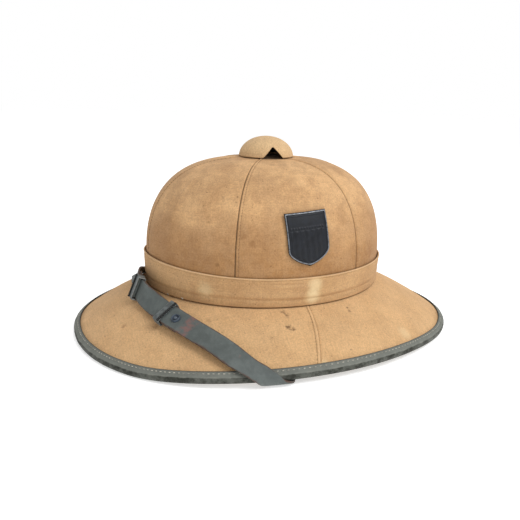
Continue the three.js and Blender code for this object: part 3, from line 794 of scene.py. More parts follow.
def binding_material(name, colour, low_colour, worn_colour):
    """Leather, darker and greener on its outer face, partly its own colour and partly painted shade; paler
    along the rim's top fold, rubbed and painted with a highlight; cloth Y runs round the section.
    """
    made, tree, shader = new_material(name)
    place, cloth = coordinates(tree)
    grain = use_group(tree, "grain", {"Vector": place, "Size": 0.8 * MM})
    section = split(tree, cloth)[1]
    uneven = wander(tree, place, 90.0, 4.0, 0.1)
    # The outer face below this boundary is darker: partly the leather's own colour, partly painted shade.
    upper = remap(tree, plus(tree, section, times(tree, uneven, 0.4)), 0.675, 0.71)
    base = mix(tree, upper, (*low_colour, 1), (*colour, 1))
    blotch = stains(tree, place, 0.01, 0.12)
    base = tint(tree, base, blotch, 0.4, shade_of(colour, 1.5))
    # Along the rim's top fold: rubbed leather and a painted highlight.
    fold = calc(tree, "ABSOLUTE", minus(tree, plus(tree, section, uneven), 0.7))
    patchy = remap(tree, speckle(tree, place, 150.0, 5.0), 0.45, 0.6)
    rubbed = times(tree, remap(tree, fold, 0.0, 0.05, 1, 0), patchy)
    base = tint(tree, base, rubbed, 0.35, (*worn_colour, 1))
    # Painted shade along the upper lap's edge, where it steps down onto the brim.
    line = attribute(tree, "Mark")
    base = tint(tree, base, line, 0.8, (0.02, 0.018, 0.014, 1))
    rough = remap(tree, grain["Height"], 0, 1, 0.85, 0.6)
    feed(tree, shader, {"Base Color": base, "Roughness": rough, "Specular IOR Level": 0.3})
    bump(tree, shader, grain["Height"], 0.15 * MM, 0.5)
    return made


def worn_metal_material(name, colour, bare_colour, wear, roughness):
    """Painted metal, bare where the Wear attribute and noise say so."""
    made, tree, shader = new_material(name)
    place, _ = coordinates(tree)
    high = attribute(tree, "Wear")
    rough_edge = wander(tree, place, 380.0, 5.0, 0.9, 0.7)
    bare = remap(tree, plus(tree, high, rough_edge), 1 - wear, 1 - wear + 0.3)
    dirt = speckle(tree, place, 240.0, 4.0)
    base = mix(tree, remap(tree, dirt, 0.4, 0.65), (*colour, 1), shade_of(colour, 1.8))
    base = tint(tree, base, bare, 0.8, (*bare_colour, 1))
    metallic = remap(tree, bare, 0, 1, 0.35, 0.85)
    rough = remap(tree, dirt, 0.3, 0.7, roughness, roughness + 0.2)
    feed(tree, shader, {"Base Color": base, "Metallic": metallic, "Roughness": rough})
    bump(tree, shader, speckle(tree, place, 900.0, 4.0), 0.06 * MM, 0.5)
    return made


def pith_material(name, colour):
    """Pressed pith: pale fibres and pits."""
    made, tree, shader = new_material(name)
    place, cloth = coordinates(tree)
    fibre = speckle(tree, stretched(tree, cloth, 90, 420), 1.0, 5.0, 0.7)
    pits = remap(tree, speckle(tree, place, 260.0, 3.0), 0.58, 0.7)
    blotch = stains(tree, place, 0.04, 0.16)
    base = mix(tree, remap(tree, fibre, 0.35, 0.65), shade_of(colour, 0.8), shade_of(colour, 1.15))
    base = tint(tree, base, blotch, 0.3, shade_of(colour, 0.55))
    base = tint(tree, base, pits, 0.5, shade_of(colour, 0.45))
    feed(tree, shader, {"Base Color": base, "Roughness": 0.95})
    bump(tree, shader, minus(tree, fibre, times(tree, pits, 0.5)), 0.4 * MM, 0.5)
    return made


LOOKED_AT = Vector((0, -6.4 * MM, 54.2 * MM))
PATCH = (STUD_LEFT - 13 * MM, 8 * MM)
BROWN_STAIN = (0.26, 0.125, 0.05)
WORN_PALE = (0.84, 0.68, 0.4)
SCUFF_DARK = (0.09, 0.045, 0.022)

# Turn in degrees, height in mm, size in mm, colour, strength and raggedness
CROWN_SPOTS = [
    (-37.8, 72.4, 2.6, SCUFF_DARK, 0.5, 1.5),
    (-39.6, 120.7, 1.8, SCUFF_DARK, 0.3, 2),
    (-26.6, 94.9, 4.5, BROWN_STAIN, 0.5, 2),
    (-23, 89.2, 4, BROWN_STAIN, 0.5, 2),
    (-66, 80, 30, BROWN_STAIN, 0.3, 0.8),
    (-45, 78, 30, BROWN_STAIN, 0.22, 0.8),
    (-18, 84, 22, BROWN_STAIN, 0.22, 0.8),
]
BAND_SPOTS = [
    (5.3, 56.1, 9, WORN_PALE, 0.6, 0.5),
    (4.6, 47.2, 9, WORN_PALE, 0.65, 0.5),
    (-43.4, 51.9, 9, WORN_PALE, 0.35, 0.8),
]
# The same with the share of the way out to the rim in place of the height
BRIM_SPOTS = [
    (-9.2, 0.08, 2.6, SCUFF_DARK, 0.55, 2.6),
    (-8.0, 0.14, 2.8, SCUFF_DARK, 0.6, 2.6),
    (-8.4, 0.34, 3.0, SCUFF_DARK, 0.75, 2.6),
    (-6.9, 0.38, 2.4, SCUFF_DARK, 0.7, 2.6),
    (19.2, 0.17, 1.8, SCUFF_DARK, 0.6, 2.2),
    (18.2, 0.23, 2.0, SCUFF_DARK, 0.6, 2.2),
    (-70.7, 0.58, 3.2, BROWN_STAIN, 0.5, 2),
    (-57.4, 0.45, 4.2, BROWN_STAIN, 0.5, 2),
    (-38.3, 0.25, 3.4, BROWN_STAIN, 0.3, 2),
    (-1.2, 0.92, 4.0, WORN_PALE, 0.4, 1),
    (30, 0.8, 9.0, WORN_PALE, 0.3, 1),
]


def crown_spots(spots, stand):
    """Spots with their middles as points on the crown, or on the band at its stand."""
    return [(crown_point(math.radians(turn), height * MM, stand), *rest) for turn, height, *rest in spots]


def brim_spots():
    return [(BrimSection.at(turn).top(out, 0), *rest) for turn, out, *rest in BRIM_SPOTS]


def helmet_groups():
    """The shared effects, made once."""
    names = {
        "weave": ("Weave", weave_group),
        "stain": ("Stains", stain_group),
        "grain": ("Leather Grain", grain_group),
        "spot": ("Spot", spot_group),
    }
    return {key: bpy.data.node_groups.get(name) or build() for key, (name, build) in names.items()}


def helmet_material(key):
    """One of the helmet's materials by name, made on first use."""
    looks = bpy.context.scene.helmet_looks
    made = bpy.data.materials.get(key)
    if made:
        return made
    builders = {
        "crown canvas": lambda: canvas_material(
            key, looks.crown_colour, looks.crown_low_colour, (0.06, 0.125), 0.45, looks.thread,
            crown_spots(CROWN_SPOTS, 0),
        ),
        "brim canvas": lambda: canvas_material(
            key, looks.brim_colour, looks.brim_colour, (-0.02, -0.01), 0.2, looks.thread, brim_spots()
        ),
        "band cloth": lambda: canvas_material(
            key, looks.band_colour, looks.band_low_colour, (0.036, 0.052), 0.25, looks.thread * 0.8,
            crown_spots(BAND_SPOTS, 1.9 * MM),
        ),
        "button cloth": lambda: canvas_material(
            key, looks.button_colour, looks.button_colour, (-0.02, -0.01), 0.15, looks.thread * 0.8
        ),
        # Near-black inside of the button: painted shade.
        "button inside shade": lambda: thread_material(key, (0.012, 0.009, 0.007)),
        "dark thread": lambda: thread_material(key, (0.1, 0.06, 0.04)),
        "tan thread": lambda: thread_material(key, (0.42, 0.27, 0.13)),
        "pale thread": lambda: thread_material(key, (0.55, 0.52, 0.44)),
        "rim leather": lambda: binding_material(
            key, looks.binding_colour, looks.binding_outer_colour_and_shade, (0.3, 0.3, 0.26)
        ),
        "strap leather": lambda: painted_leather_material(
            key, looks.strap_colour, looks.strap_edge_colour, (0.22, 0.115, 0.1), STRAP_WIDTH, PATCH
        ),
        "slide metal": lambda: worn_metal_material(key, (0.1, 0.112, 0.112), (0.32, 0.33, 0.32), 0.46, 0.5),
        "bar metal": lambda: worn_metal_material(key, (0.006, 0.007, 0.007), (0.07, 0.07, 0.066), 0.3, 0.55),
        "stud metal": lambda: worn_metal_material(key, (0.03, 0.042, 0.058), (0.2, 0.23, 0.27), 0.42, 0.45),
        "badge metal": lambda: worn_metal_material(key, looks.badge_colour, (0.3, 0.315, 0.34), 0.55, 0.4),
        "pith": lambda: pith_material(key, looks.pith_colour),
    }
    return builders[key]()


# Settings


def colour_property(label, description, default):
    return bpy.props.FloatVectorProperty(
        name=label, description=description, default=default, subtype="COLOR", size=3, min=0, max=1
    )


def number_property(label, description, default, **settings):
    return bpy.props.FloatProperty(name=label, description=description, default=default, **settings)


class HelmetLooks(bpy.types.PropertyGroup):
    """Colours and cloth of the helmet"""

    crown_colour: colour_property("Crown", "Canvas high on the crown", (0.7, 0.43, 0.212))
    crown_low_colour: colour_property("Crown, low", "Canvas just above the band", (0.385, 0.202, 0.08))
    brim_colour: colour_property("Brim", "Canvas of the brim", (0.68, 0.425, 0.21))
    band_colour: colour_property("Band", "Cloth of the band", (0.55, 0.335, 0.16))
    band_low_colour: colour_property("Band, low", "Cloth at the band's foot", (0.5, 0.3, 0.14))
    button_colour: colour_property("Button", "Cloth of the top button", (0.68, 0.465, 0.25))
    binding_colour: colour_property("Binding", "Upper face of the rim's leather", (0.155, 0.162, 0.142))
    # The outer face's colour is darkened partly as painted shade.
    binding_outer_colour_and_shade: colour_property("Binding, low", "The rim's outer face", (0.023, 0.024, 0.017))
    strap_colour: colour_property("Strap", "Paint of the strap", (0.098, 0.113, 0.108))
    strap_edge_colour: colour_property("Strap edge", "Bare leather at the strap's edges", (0.09, 0.045, 0.03))
    badge_colour: colour_property("Badge", "Paint of the badge", (0.006, 0.0075, 0.011))
    pith_colour: colour_property("Pith", "Bare pith inside", (0.42, 0.33, 0.2))
    thread: number_property(
        "Thread", "From thread to thread", 0.55 * MM, min=0.3 * MM, unit="LENGTH", precision=5
    )


class HelmetStage(bpy.types.PropertyGroup):
    """Camera, floor and light"""

    distance: number_property("Distance", "From the camera to the helmet's middle", 0.56, unit="LENGTH")
    azimuth: number_property("Azimuth", "Round from the front", math.radians(69.3), subtype="ANGLE")
    elevation: number_property("Elevation", "Above the horizon", math.radians(14.9), subtype="ANGLE")
    roll: number_property("Roll", "Turn of the camera about its view", math.radians(1.4), subtype="ANGLE")
    lens: number_property("Lens", "Focal length on a 36 mm sensor", 43.68, subtype="DISTANCE_CAMERA")
    floor_colour: colour_property("Floor", "Pale floor", (0.86, 0.86, 0.86))
    key_power: number_property("Key", "Power of the main light", 12.5, unit="POWER")
    fill_power: number_property("Fill", "Power of the side light", 3, unit="POWER")
    sky: number_property("Sky", "Strength of the light from all round", 0.54)
    floor_glow: number_property("Floor glow", "The floor's own light", 0.53)


# Pieces


class HELMET_OT_shell(bpy.types.Operator):
    """Pressed pith shell: its smooth inside and the underside of the brim"""

    bl_idname = "helmet.shell"
    bl_label = "Pith shell"

    def execute(self, context):
        brim_share = 0.42  # of the grid's rows

        def place(u, v):
            turn = math.tau * u
            if v < brim_share:
                out = 1 - v / brim_share
                part = BrimSection(turn)
                corner = 5 * MM * hump(out * part.reach, 7 * MM)
                point = part.bottom(out, 0) - part.away * 0.35 * corner
            else:
                way = (v - brim_share) / (1 - brim_share)
                point = meridian(turn, way, -CANVAS - GAP - PITH, -5.6 * MM)
            ripple = 0.25 * MM * sway(point, 12 * MM, 3.0) + 0.12 * MM * sway(point, 4 * MM, 9.0)
            return point + Vector((0, 0, ripple))

        bm = grid(180, 72, place, (0.62, 0.2), around=True)
        bmesh.ops.reverse_faces(bm, faces=bm.faces)
        shell = piece("pith_shell_inside", bm, ["pith"], "pith_board", "pith_shell")
        thicken(shell, PITH_AT_RIM * 0.9)
        return {"FINISHED"}


def draw_in(way):
    """How far the crown has drawn in, as a share of its girth, by a way up the meridian."""
    return 1 if way < WALL_SHARE else math.cos(VENT_ANGLE * (way - WALL_SHARE) / (1 - WALL_SHARE)) ** 0.63


def seam_relief(from_seam, along, strip_side):
    """(stand, mark) beside a seam: a groove, and on one side a pale strip closed by a stitched groove; both
    grooves are marked dark as painted shade.
    """
    groove = -0.4 * MM * hump(from_seam, 0.6 * MM)
    # Painted shade: the seam's groove is marked dark.
    dark = 0.5 * hump(from_seam, 0.3 * MM)
    if not strip_side:
        return groove, dark
    strip = 0.35 * MM * ease(from_seam, 0.2 * MM, 0.7 * MM) * (1 - ease(from_seam, 1.9 * MM, 2.5 * MM))
    stitched = hump(from_seam - SEAM_STRIP, 0.36 * MM)
    pucker = 0.05 * MM * math.sin(along * math.tau / (5.2 * MM)) * math.exp(-from_seam / (5 * MM))
    pale = 0.42 * ease(from_seam, 0.3 * MM, 0.8 * MM) * (1 - ease(from_seam, 1.5 * MM, 2 * MM))
    # The stitched groove is marked dark as painted shade.
    return groove + strip - 0.2 * MM * stitched + pucker, max(dark, 0.45 * stitched) - pale


class HELMET_OT_crown(bpy.types.Operator):
    """Six canvas gores, lapped and stitched along their seams"""

    bl_idname = "helmet.crown"
    bl_label = "Crown"

    def execute(self, context):
        for number, place_name in enumerate(GORES):
            start = (number - 0.5) * GORE_TURN

            def place(u, v):
                across = gathered(u, 0.12)
                turn = start + across * GORE_TURN
                width = GORE_TURN * (CROWN_X + CROWN_Y) / 2
                share = draw_in(v)
                near = min(across, 1 - across) * width * share
                flat = meridian(turn, v, 0)
                # The seam's grooves are marked dark as painted shade.
                stand, seam = seam_relief(near, v * GORE_LENGTH, across < 0.5)
                taut = ease(near, 0, 12 * MM)
                stand += taut * (0.28 * MM * sway(flat, 38 * MM, 1.0) + 0.06 * MM * sway(flat, 11 * MM, 5.0))
                from_crease = turn_from(turn, CREASE_TURN) * CROWN_Y
                crease = hump(from_crease, 3.5 * MM) * ease(v, 0.22, 0.35) * (1 - ease(v, 0.62, 0.8))
                stand += 0.5 * MM * crease
                # Painted highlight: the crease's ridge is marked pale.
                seam -= 0.4 * crease
                inset = turn + (0.5 - across) * SEAM_GAP / (CROWN_Y * max(share, 0.2))
                point = meridian(inset, v, stand, GAP) + Vector((0, 0, 3.2 * MM * ease(v, 0.986, 1)))
                # Painted shade: the canvas under the button, seen through its notches, is marked dark.
                under_button_shade = 1 - ease(math.hypot(point.x, point.y + CROWN_FORWARD), 20 * MM, 23 * MM)
                return point, max(seam, under_button_shade)

            bm = grid(84, 90, place, (0.1, GORE_LENGTH))
            name = f"crown_canvas_{place_name}"
            gore = piece(name, bm, ["crown canvas"], "crown_canvas", f"crown_gore_{place_name}")
            thicken(gore, 0.8 * CANVAS)
        self.sew()
        return {"FINISHED"}

    def sew(self):
        """A row of small dark stitches beside each seam."""
        places = []
        pitch = 3.1 * MM
        for number in range(len(GORES)):
            seam = (number - 0.5) * GORE_TURN
            for k in range(int(0.93 * GORE_LENGTH / pitch + 0.5)):
                v = (k + 0.5) * pitch / GORE_LENGTH
                share = draw_in(v)
                turn = seam + SEAM_STRIP / (CROWN_Y * share)
                here = meridian(turn, v, 0.02 * MM)
                above = meridian(turn, min(1, v + 0.01), 0.02 * MM)
                outward = meridian(turn, v, 5 * MM) - here
                places.append((here, above - here, outward))
        size = (2.1 * MM, 0.5 * MM, 0.45 * MM)
        stitches("crown_stitches", places, size, "dark thread", "crown_canvas")


def turn_from(turn, other):
    """The signed difference between two turns, between minus and plus half a turn."""
    return (turn - other + math.pi) % math.tau - math.pi


def side_seam(out):
    """The turn of the wearer's left brim seam, out from the crown."""
    return math.radians(lerp(3.5, -2.7, out))


class HELMET_OT_brim(bpy.types.Operator):
    """Two canvas halves on the brim, joined by a stitched seam at each side"""

    bl_idname = "helmet.brim"
    bl_label = "Brim"

    def execute(self, context):
        for name, front in (("front", True), ("back", False)):

            def place(u, v):
                out = 0.99 * (1 - v)
                left = side_seam(out)
                right = math.pi - left
                across = gathered(u, 0.14)
                turn = lerp(right - math.tau, left, across) if front else lerp(left, right, across)
                part = BrimSection(turn)
                flat = part.top(out, 0)
                wide = lerp(0.29, 0.48, out)
                near = min(across, 1 - across) * wide
                # The seam's grooves are marked dark as painted shade.
                stand, seam = seam_relief(near, out * 0.06, front)
                wave = 0.45 * MM * sway(flat, 45 * MM, 7.0) + 0.08 * MM * sway(flat, 13 * MM, 2.0)
                tug = 0.35 * MM * hump(near - 7 * MM, 4 * MM) * ease(out, 0.75, 0.97)
                hold = ease(out, 0.0, 0.12) * (1 - ease(out, 0.85, 0.95))
                return part.top(out, stand + wave * hold * ease(near, 0, 15 * MM) - tug), 0.8 * seam

            bm = grid(260, 50, place, (0.42, 0.062))
            flat_uv(bm)
            half = piece(f"brim_canvas_{name}", bm, ["brim canvas"], "brim_canvas", f"brim_cover_{name}")
            thicken(half, 0.8 * CANVAS)
        self.sew()
        return {"FINISHED"}

    def sew(self):
        """A row of stitches in front of each side seam."""
        places = []
        for mirror in (Vector((1, 1, 1)), Vector((-1, 1, 1))):
            for k in range(1, 19):
                out = k / 20
                aside = SEAM_STRIP / lerp(0.09, 0.137, out)
                part = BrimSection(side_seam(out) - aside)
                ahead = BrimSection(side_seam(out + 0.02) - aside).top(out + 0.02, 0)
                stitch = (part.top(out, 0.02 * MM), ahead - part.top(out, 0), part.up)
                places.append(tuple(vector * mirror for vector in stitch))
        size = (1.9 * MM, 0.45 * MM, 0.4 * MM)
        stitches("brim_stitches", places, size, "tan thread", "brim_canvas")


def flat_uv(bm):
    """Gives a brim piece the weave of a flat cut: cloth coordinates are X and Y."""
    uv = bm.loops.layers.uv["Cloth"]
    for face in bm.faces:
        for loop in face.loops:
            loop[uv].uv = loop.vert.co.xy


def band_height(turn):
    end = BAND_FRONT if math.sin(turn) < 0 else BAND_BACK
    return lerp(BAND_SIDE, end, abs(math.sin(turn)) ** 3)


class HELMET_OT_band(bpy.types.Operator):
    """Pleated cloth band round the root of the crown"""

    bl_idname = "helmet.band"
    bl_label = "Band"

    def execute(self, context):
        def place(u, v):
            turn = math.tau * u
            ring = Vector((math.cos(turn), math.sin(turn), 0)) * 0.09
            tall = band_height(turn)
            height = v * tall
            stand = GAP + BAND_THICKNESS
            # Folded edges at the top and the foot: a pale line along the top fold, painted shade in the
            # groove below it, and a painted shadow along the foot
            from_top = tall - height
            stand += 0.35 * MM * hump(from_top - 0.7 * MM, 0.7 * MM)
            stand -= 0.3 * MM * hump(from_top - 1.9 * MM, 0.5 * MM)
            stand -= 0.9 * MM * hump(from_top, 0.35 * MM) + 0.7 * MM * hump(height, 0.6 * MM)
            line = -0.8 * hump(from_top - 0.4 * MM, 0.45 * MM) + 0.75 * hump(height, 0.5 * MM)
            line += 0.22 * hump(from_top - 1.5 * MM, 0.45 * MM)
            # The long pleat low on the band, and a short one high on it, each marked dark along its fold as
            # painted shade
            fold = tall * (0.27 + 0.035 * sway(ring, 60 * MM, 4.0))
            strength = 0.45 + 0.55 * ease(sway(ring, 55 * MM, 8.0), -0.35, 0.3)
            stand -= 0.7 * MM * strength * hump(height - fold, 1.1 * MM)
            stand += 0.5 * MM * strength * hump(height - fold - 2.8 * MM, 2 * MM)
            line += 0.2 * strength * hump(height - fold, 1.3 * MM)
            upper = tall * (0.78 + 0.04 * sway(ring, 50 * MM, 12.0))
            near_side = hump(turn_from(turn, math.radians(-6.3)), 0.11)
            weak = max(near_side, 0.6 * ease(sway(ring, 45 * MM, 15.0), 0.15, 0.45))
            stand -= 0.4 * MM * weak * hump(height - upper, 0.9 * MM)
            stand += 0.3 * MM * weak * hump(height - upper + 2 * MM, 1.5 * MM)
            line += 0.16 * weak * hump(height - upper, 1 * MM)
            slack = 0.3 * MM * sway(ring + Vector((0, 0, height * 2)), 24 * MM, 6.0)
            stand += slack * ease(height, 0, 4 * MM) * ease(from_top, 0, 3 * MM)
            return crown_point(turn, root_height(turn) + BAND_FOOT + height, stand), line

        bm = grid(360, 64, place, (0.61, 0.025), around=True)
        band = piece("pleated_band", bm, ["band cloth"], "band_cloth", "hat_band")
        thicken(band, 0.9 * MM)
        self.tufts()
        return {"FINISHED"}

    def tufts(self):
        """Loose thread ends where the band's foot is tacked down."""
        places = []
        for turn in (-64.5, -55.1, -128, 74, 162):
            turn = math.radians(turn)
            root = crown_point(turn, root_height(turn) + 1 * MM, 2.9 * MM)
            out = Vector((root.x, root.y, 0)).normalized()
            for lean in (-0.5, 0.1, 0.6):
                along = Vector((-out.y * lean, out.x * lean, 1)) + out * 0.5
                places.append((root + along * 0.8 * MM, along, out))
        stitches("band_tufts", places, (3 * MM, 0.5 * MM, 0.5 * MM), "pale thread", "band_cloth")


def binding_point(part, way, stand):
    """Point on the binding's outer face, way from 0 at its lower edge to 1 at its upper one."""
    over = GAP + BINDING_THICKNESS + stand
    if way < LAP_WAY:
        back = lerp(BINDING_LAP, 0, way / LAP_WAY)
        return part.bottom(1 - back / part.reach, over)
    if way > 1 - LAP_WAY:
        back = lerp(0, BINDING_LAP, (way - 1 + LAP_WAY) / LAP_WAY)
        return part.top(1 - back / part.reach, over)
    share = (way - LAP_WAY) / (1 - 2 * LAP_WAY)
    angle = lerp(-math.pi / 2 - part.slope, math.pi / 2 - part.slope, share)
    return part.round(angle, RIM_RADIUS + stand)


class HELMET_OT_binding(bpy.types.Operator):
    """Leather binding folded over the rim and sewn through"""

    bl_idname = "helmet.binding"
    bl_label = "Edge binding"

    def execute(self, context):
        per_stitch = 4
        stitch_way = 1 - LAP_WAY * (1 - STITCH_BACK / BINDING_LAP)

        def place(u, v):
            part = BrimSection(math.tau * u)
            phase = (u * BINDING_STITCHES) % 1 - 0.5
            across = (v - stitch_way) / LAP_WAY * BINDING_LAP
            pull = -0.22 * MM * hump(phase, 0.3) * hump(across, 1.1 * MM)
            puff = 0.1 * MM * (1 - hump(phase, 0.3)) * hump(across - 1.2 * MM, 0.9 * MM)
            uneven = 0.12 * MM * sway(part.rim + Vector((0, 0, v * 0.02)), 9 * MM, 3.0) * ease(v, 0.35, 0.6)
            # The mark is painted shade along the upper lap's edge, where it steps down onto the brim.
            return binding_point(part, v, pull + puff + uneven), hump((v - 1) * 17 * MM, 0.5 * MM)

        bm = grid(BINDING_STITCHES * per_stitch, 26, place, (0.97, 1.0), around=True)
        binding = piece("rim_binding", bm, ["rim leather"], "binding_leather", "edge_binding")
        thicken(binding, 0.8 * MM)
        self.sew()
        return {"FINISHED"}

    def sew(self):
        """Stitches through both laps of the binding."""
        places = []
        over = GAP + BINDING_THICKNESS
        for k in range(BINDING_STITCHES):
            turn = math.tau * k / BINDING_STITCHES
            part = BrimSection(turn)
            out = 1 - STITCH_BACK / part.reach
            along = BrimSection(turn + 0.01).top(out, 0) - part.top(out, 0)
            places.append((part.top(out, over + 0.12 * MM), along, part.up))
            places.append((part.bottom(out, over - 0.12 * MM), along, -part.up))
        size = (2.0 * MM, 0.75 * MM, 0.6 * MM)
        stitches("binding_stitches", places, size, "pale thread", "binding_leather")


class HELMET_OT_button(bpy.types.Operator):
    """Cloth-covered top button with a pointed notch for air at each side"""

    bl_idname = "helmet.button"
    bl_label = "Vented button"

    def execute(self, context):
        base = CROWN_TOP + GAP
        blunt = 1.2 * MM  # rounding of the notch's tip

        def place(u, v):
            turn = math.tau * u
            beside = math.hypot(BUTTON_RADIUS * math.sin(turn - NOTCH_TURN), blunt)
            notch = max(0, NOTCH_HEIGHT * (1 - beside / (NOTCH_WIDTH / 2)) + blunt)
            low = math.asin(clamp(notch / BUTTON_HEIGHT))
            angle = lerp(low, math.pi / 2, v)
            from_foot = (angle - low) * BUTTON_RADIUS
            roll = 0.35 * MM * hump(from_foot, 1.6 * MM) - 0.5 * MM * hump(from_foot, 0.5 * MM)
            radius = (BUTTON_RADIUS + roll) * math.cos(angle)
            height = base + BUTTON_HEIGHT * math.sin(angle)
            point = Vector((radius * math.cos(turn), radius * math.sin(turn) - CROWN_FORWARD, height))
            # Painted shade: a dark line along the button's foot and round the edges of its notches.
            foot = 0.7 * hump(from_foot, 0.4 * MM)
            return point + Vector((0, 0, 0.12 * MM * sway(point, 9 * MM, 2.0))), foot

        bm = grid(192, 40, place, (0.144, 0.03), around=True)
        flat_uv(bm)
        cloths = ["button cloth", "button inside shade"]
        button = piece("vented_button", bm, cloths, "button_canvas", "vent_button")
        # Its inside faces get the near-black material: painted shade.
        thicken(button, BUTTON_WALL, inner_material=1)
        return {"FINISHED"}


def badge_half_width(share):
    if share >= BADGE_SHOULDER:
        return BADGE_WIDTH / 2
    closing = (BADGE_SHOULDER - share) / BADGE_SHOULDER
    return BADGE_WIDTH / 2 * (0.01 + 0.99 * (1 - closing**1.8) ** 0.75)


class HELMET_OT_badge(bpy.types.Operator):
    """Stamped shield: raised border, plain upper field over a beaded bar, and shallow upright flutes below"""

    bl_idname = "helmet.badge"
    bl_label = "Badge"

    def outline(self):
        """Straight runs of the shield's left half, from its foot up its side and along its top."""
        rows = [(badge_half_width(k / 80), k / 80 * BADGE_HEIGHT) for k in range(81)]
        corners = [Vector((0, 0)), *(Vector(row) for row in rows), Vector((0, BADGE_HEIGHT))]
        return [(a, b) for a, b in zip(corners, corners[1:]) if (b - a).length > 0]

    def edge_distance(self, runs, across, share):
        """How far a place is from the outline."""
        here = Vector((abs(across), share * BADGE_HEIGHT))
        nearest = 1.0
        for a, b in runs:
            run = b - a
            nearest = min(nearest, (here - a - run * clamp((here - a).dot(run) / run.length_squared)).length)
        return nearest

    def relief(self, edge, across, share):
        """Height of the stamping above the field; across and edge, the distance to the outline, in metres."""
        border = 0.8 * MM * (1 - ease(edge, 1.1 * MM, 1.7 * MM)) * ease(edge, -0.3 * MM, 0.7 * MM)
        bead_line = 0.3 * MM * hump(edge - 2.5 * MM, 0.35 * MM)
        inside = ease(edge, 2.9 * MM, 3.5 * MM)
        bar = share * BADGE_HEIGHT - 0.7 * BADGE_HEIGHT
        beads = 0.7 * MM * hump(bar, 0.8 * MM) * (0.55 + 0.45 * math.cos(across * math.tau / (2.2 * MM)))
        below = 1 - ease(bar, -1.8 * MM, -1.2 * MM)
        flutes = 0.62 * MM * (0.5 + 0.5 * math.cos(across * math.tau / (4.6 * MM))) ** 0.8 * below
        return border + bead_line + inside * (beads + flutes)

    def execute(self, context):
        bm = bmesh.new()
        bmesh.ops.create_grid(bm, x_segments=120, y_segments=140, size=0.5)
        wear = bm.verts.layers.float.new("Wear")
        cos_turn, sin_turn = math.cos(BADGE_TURN), math.sin(BADGE_TURN)
        runs = self.outline()
        plate = GAP + 1.3 * MM
        for vert in bm.verts:
            share = clamp(vert.co.y + 0.5)
            across = vert.co.x * 2 * badge_half_width(share)
            edge = self.edge_distance(runs, across, share)
            height = self.relief(edge, across, share)
            vert[wear] = clamp(height / (0.9 * MM)) * (0.78 if edge < 1.8 * MM else 0.5)
            above = (share - 0.5) * BADGE_HEIGHT
            y = across * cos_turn - above * sin_turn
            z = BADGE_FOOT_HEIGHT + BADGE_HEIGHT / 2 + above * cos_turn + across * sin_turn
            stand = plate + height
            width = CROWN_Y * crown_share(z, stand)
            vert.co = crown_point(math.asin((y + CROWN_FORWARD) / width), z, stand)
        badge = piece("shield_relief", bm, ["badge metal"], "badge_metal", "shield_badge")
        thicken(badge, 1.2 * MM)
        return {"FINISHED"}


class HELMET_OT_strap(bpy.types.Operator):
    """Three lengths of painted leather strap"""

    bl_idname = "helmet.strap"
    bl_label = "Chin strap"

    def length_of(self, name, start, end, lowered, node):
        """A length of strap between two distances along the route, lowered below it."""
        steps = int((end - start) / (1.1 * MM))

        def place(u, v):
            distance = lerp(start, end, u)
            across = 1 - 2 * v
            ragged = 1 + 0.008 * sway(Vector((distance, 0, 0)), 7 * MM, 5.0)
            level = STRAP_THICKNESS / 2 - lowered + 0.1 * MM * sway(Vector((distance, 0, 0)), 16 * MM, 1.0)
            worn = -0.12 * MM * hump(1 - abs(across), 0.12)
            return route.spot(distance, across * ragged, level + worn)

        bm = grid(steps, 14, place, (end - start, STRAP_WIDTH))
        uv = bm.loops.layers.uv["Cloth"]
        for face in bm.faces:
            for loop in face.loops:
                loop[uv].uv.x += start
        made = piece(name, bm, ["strap leather"], "strap_leather", node)
        thicken(made, STRAP_THICKNESS)
        soften(made, 0.4 * MM)

    def execute(self, context):
        self.length_of("strap_left_leather", 0, SLIDE_LEFT + SLIDE_LENGTH / 4, 0, "strap_left")
        self.length_of("strap_right_leather", SLIDE_RIGHT - SLIDE_LENGTH / 4, route.length, 0, "strap_right")
        start, end = SLIDE_LEFT - STRAP_OVERLAP, SLIDE_RIGHT + STRAP_OVERLAP
        self.length_of("strap_link_leather", start, end, LAYER_DROP, "strap_link")
        return {"FINISHED"}


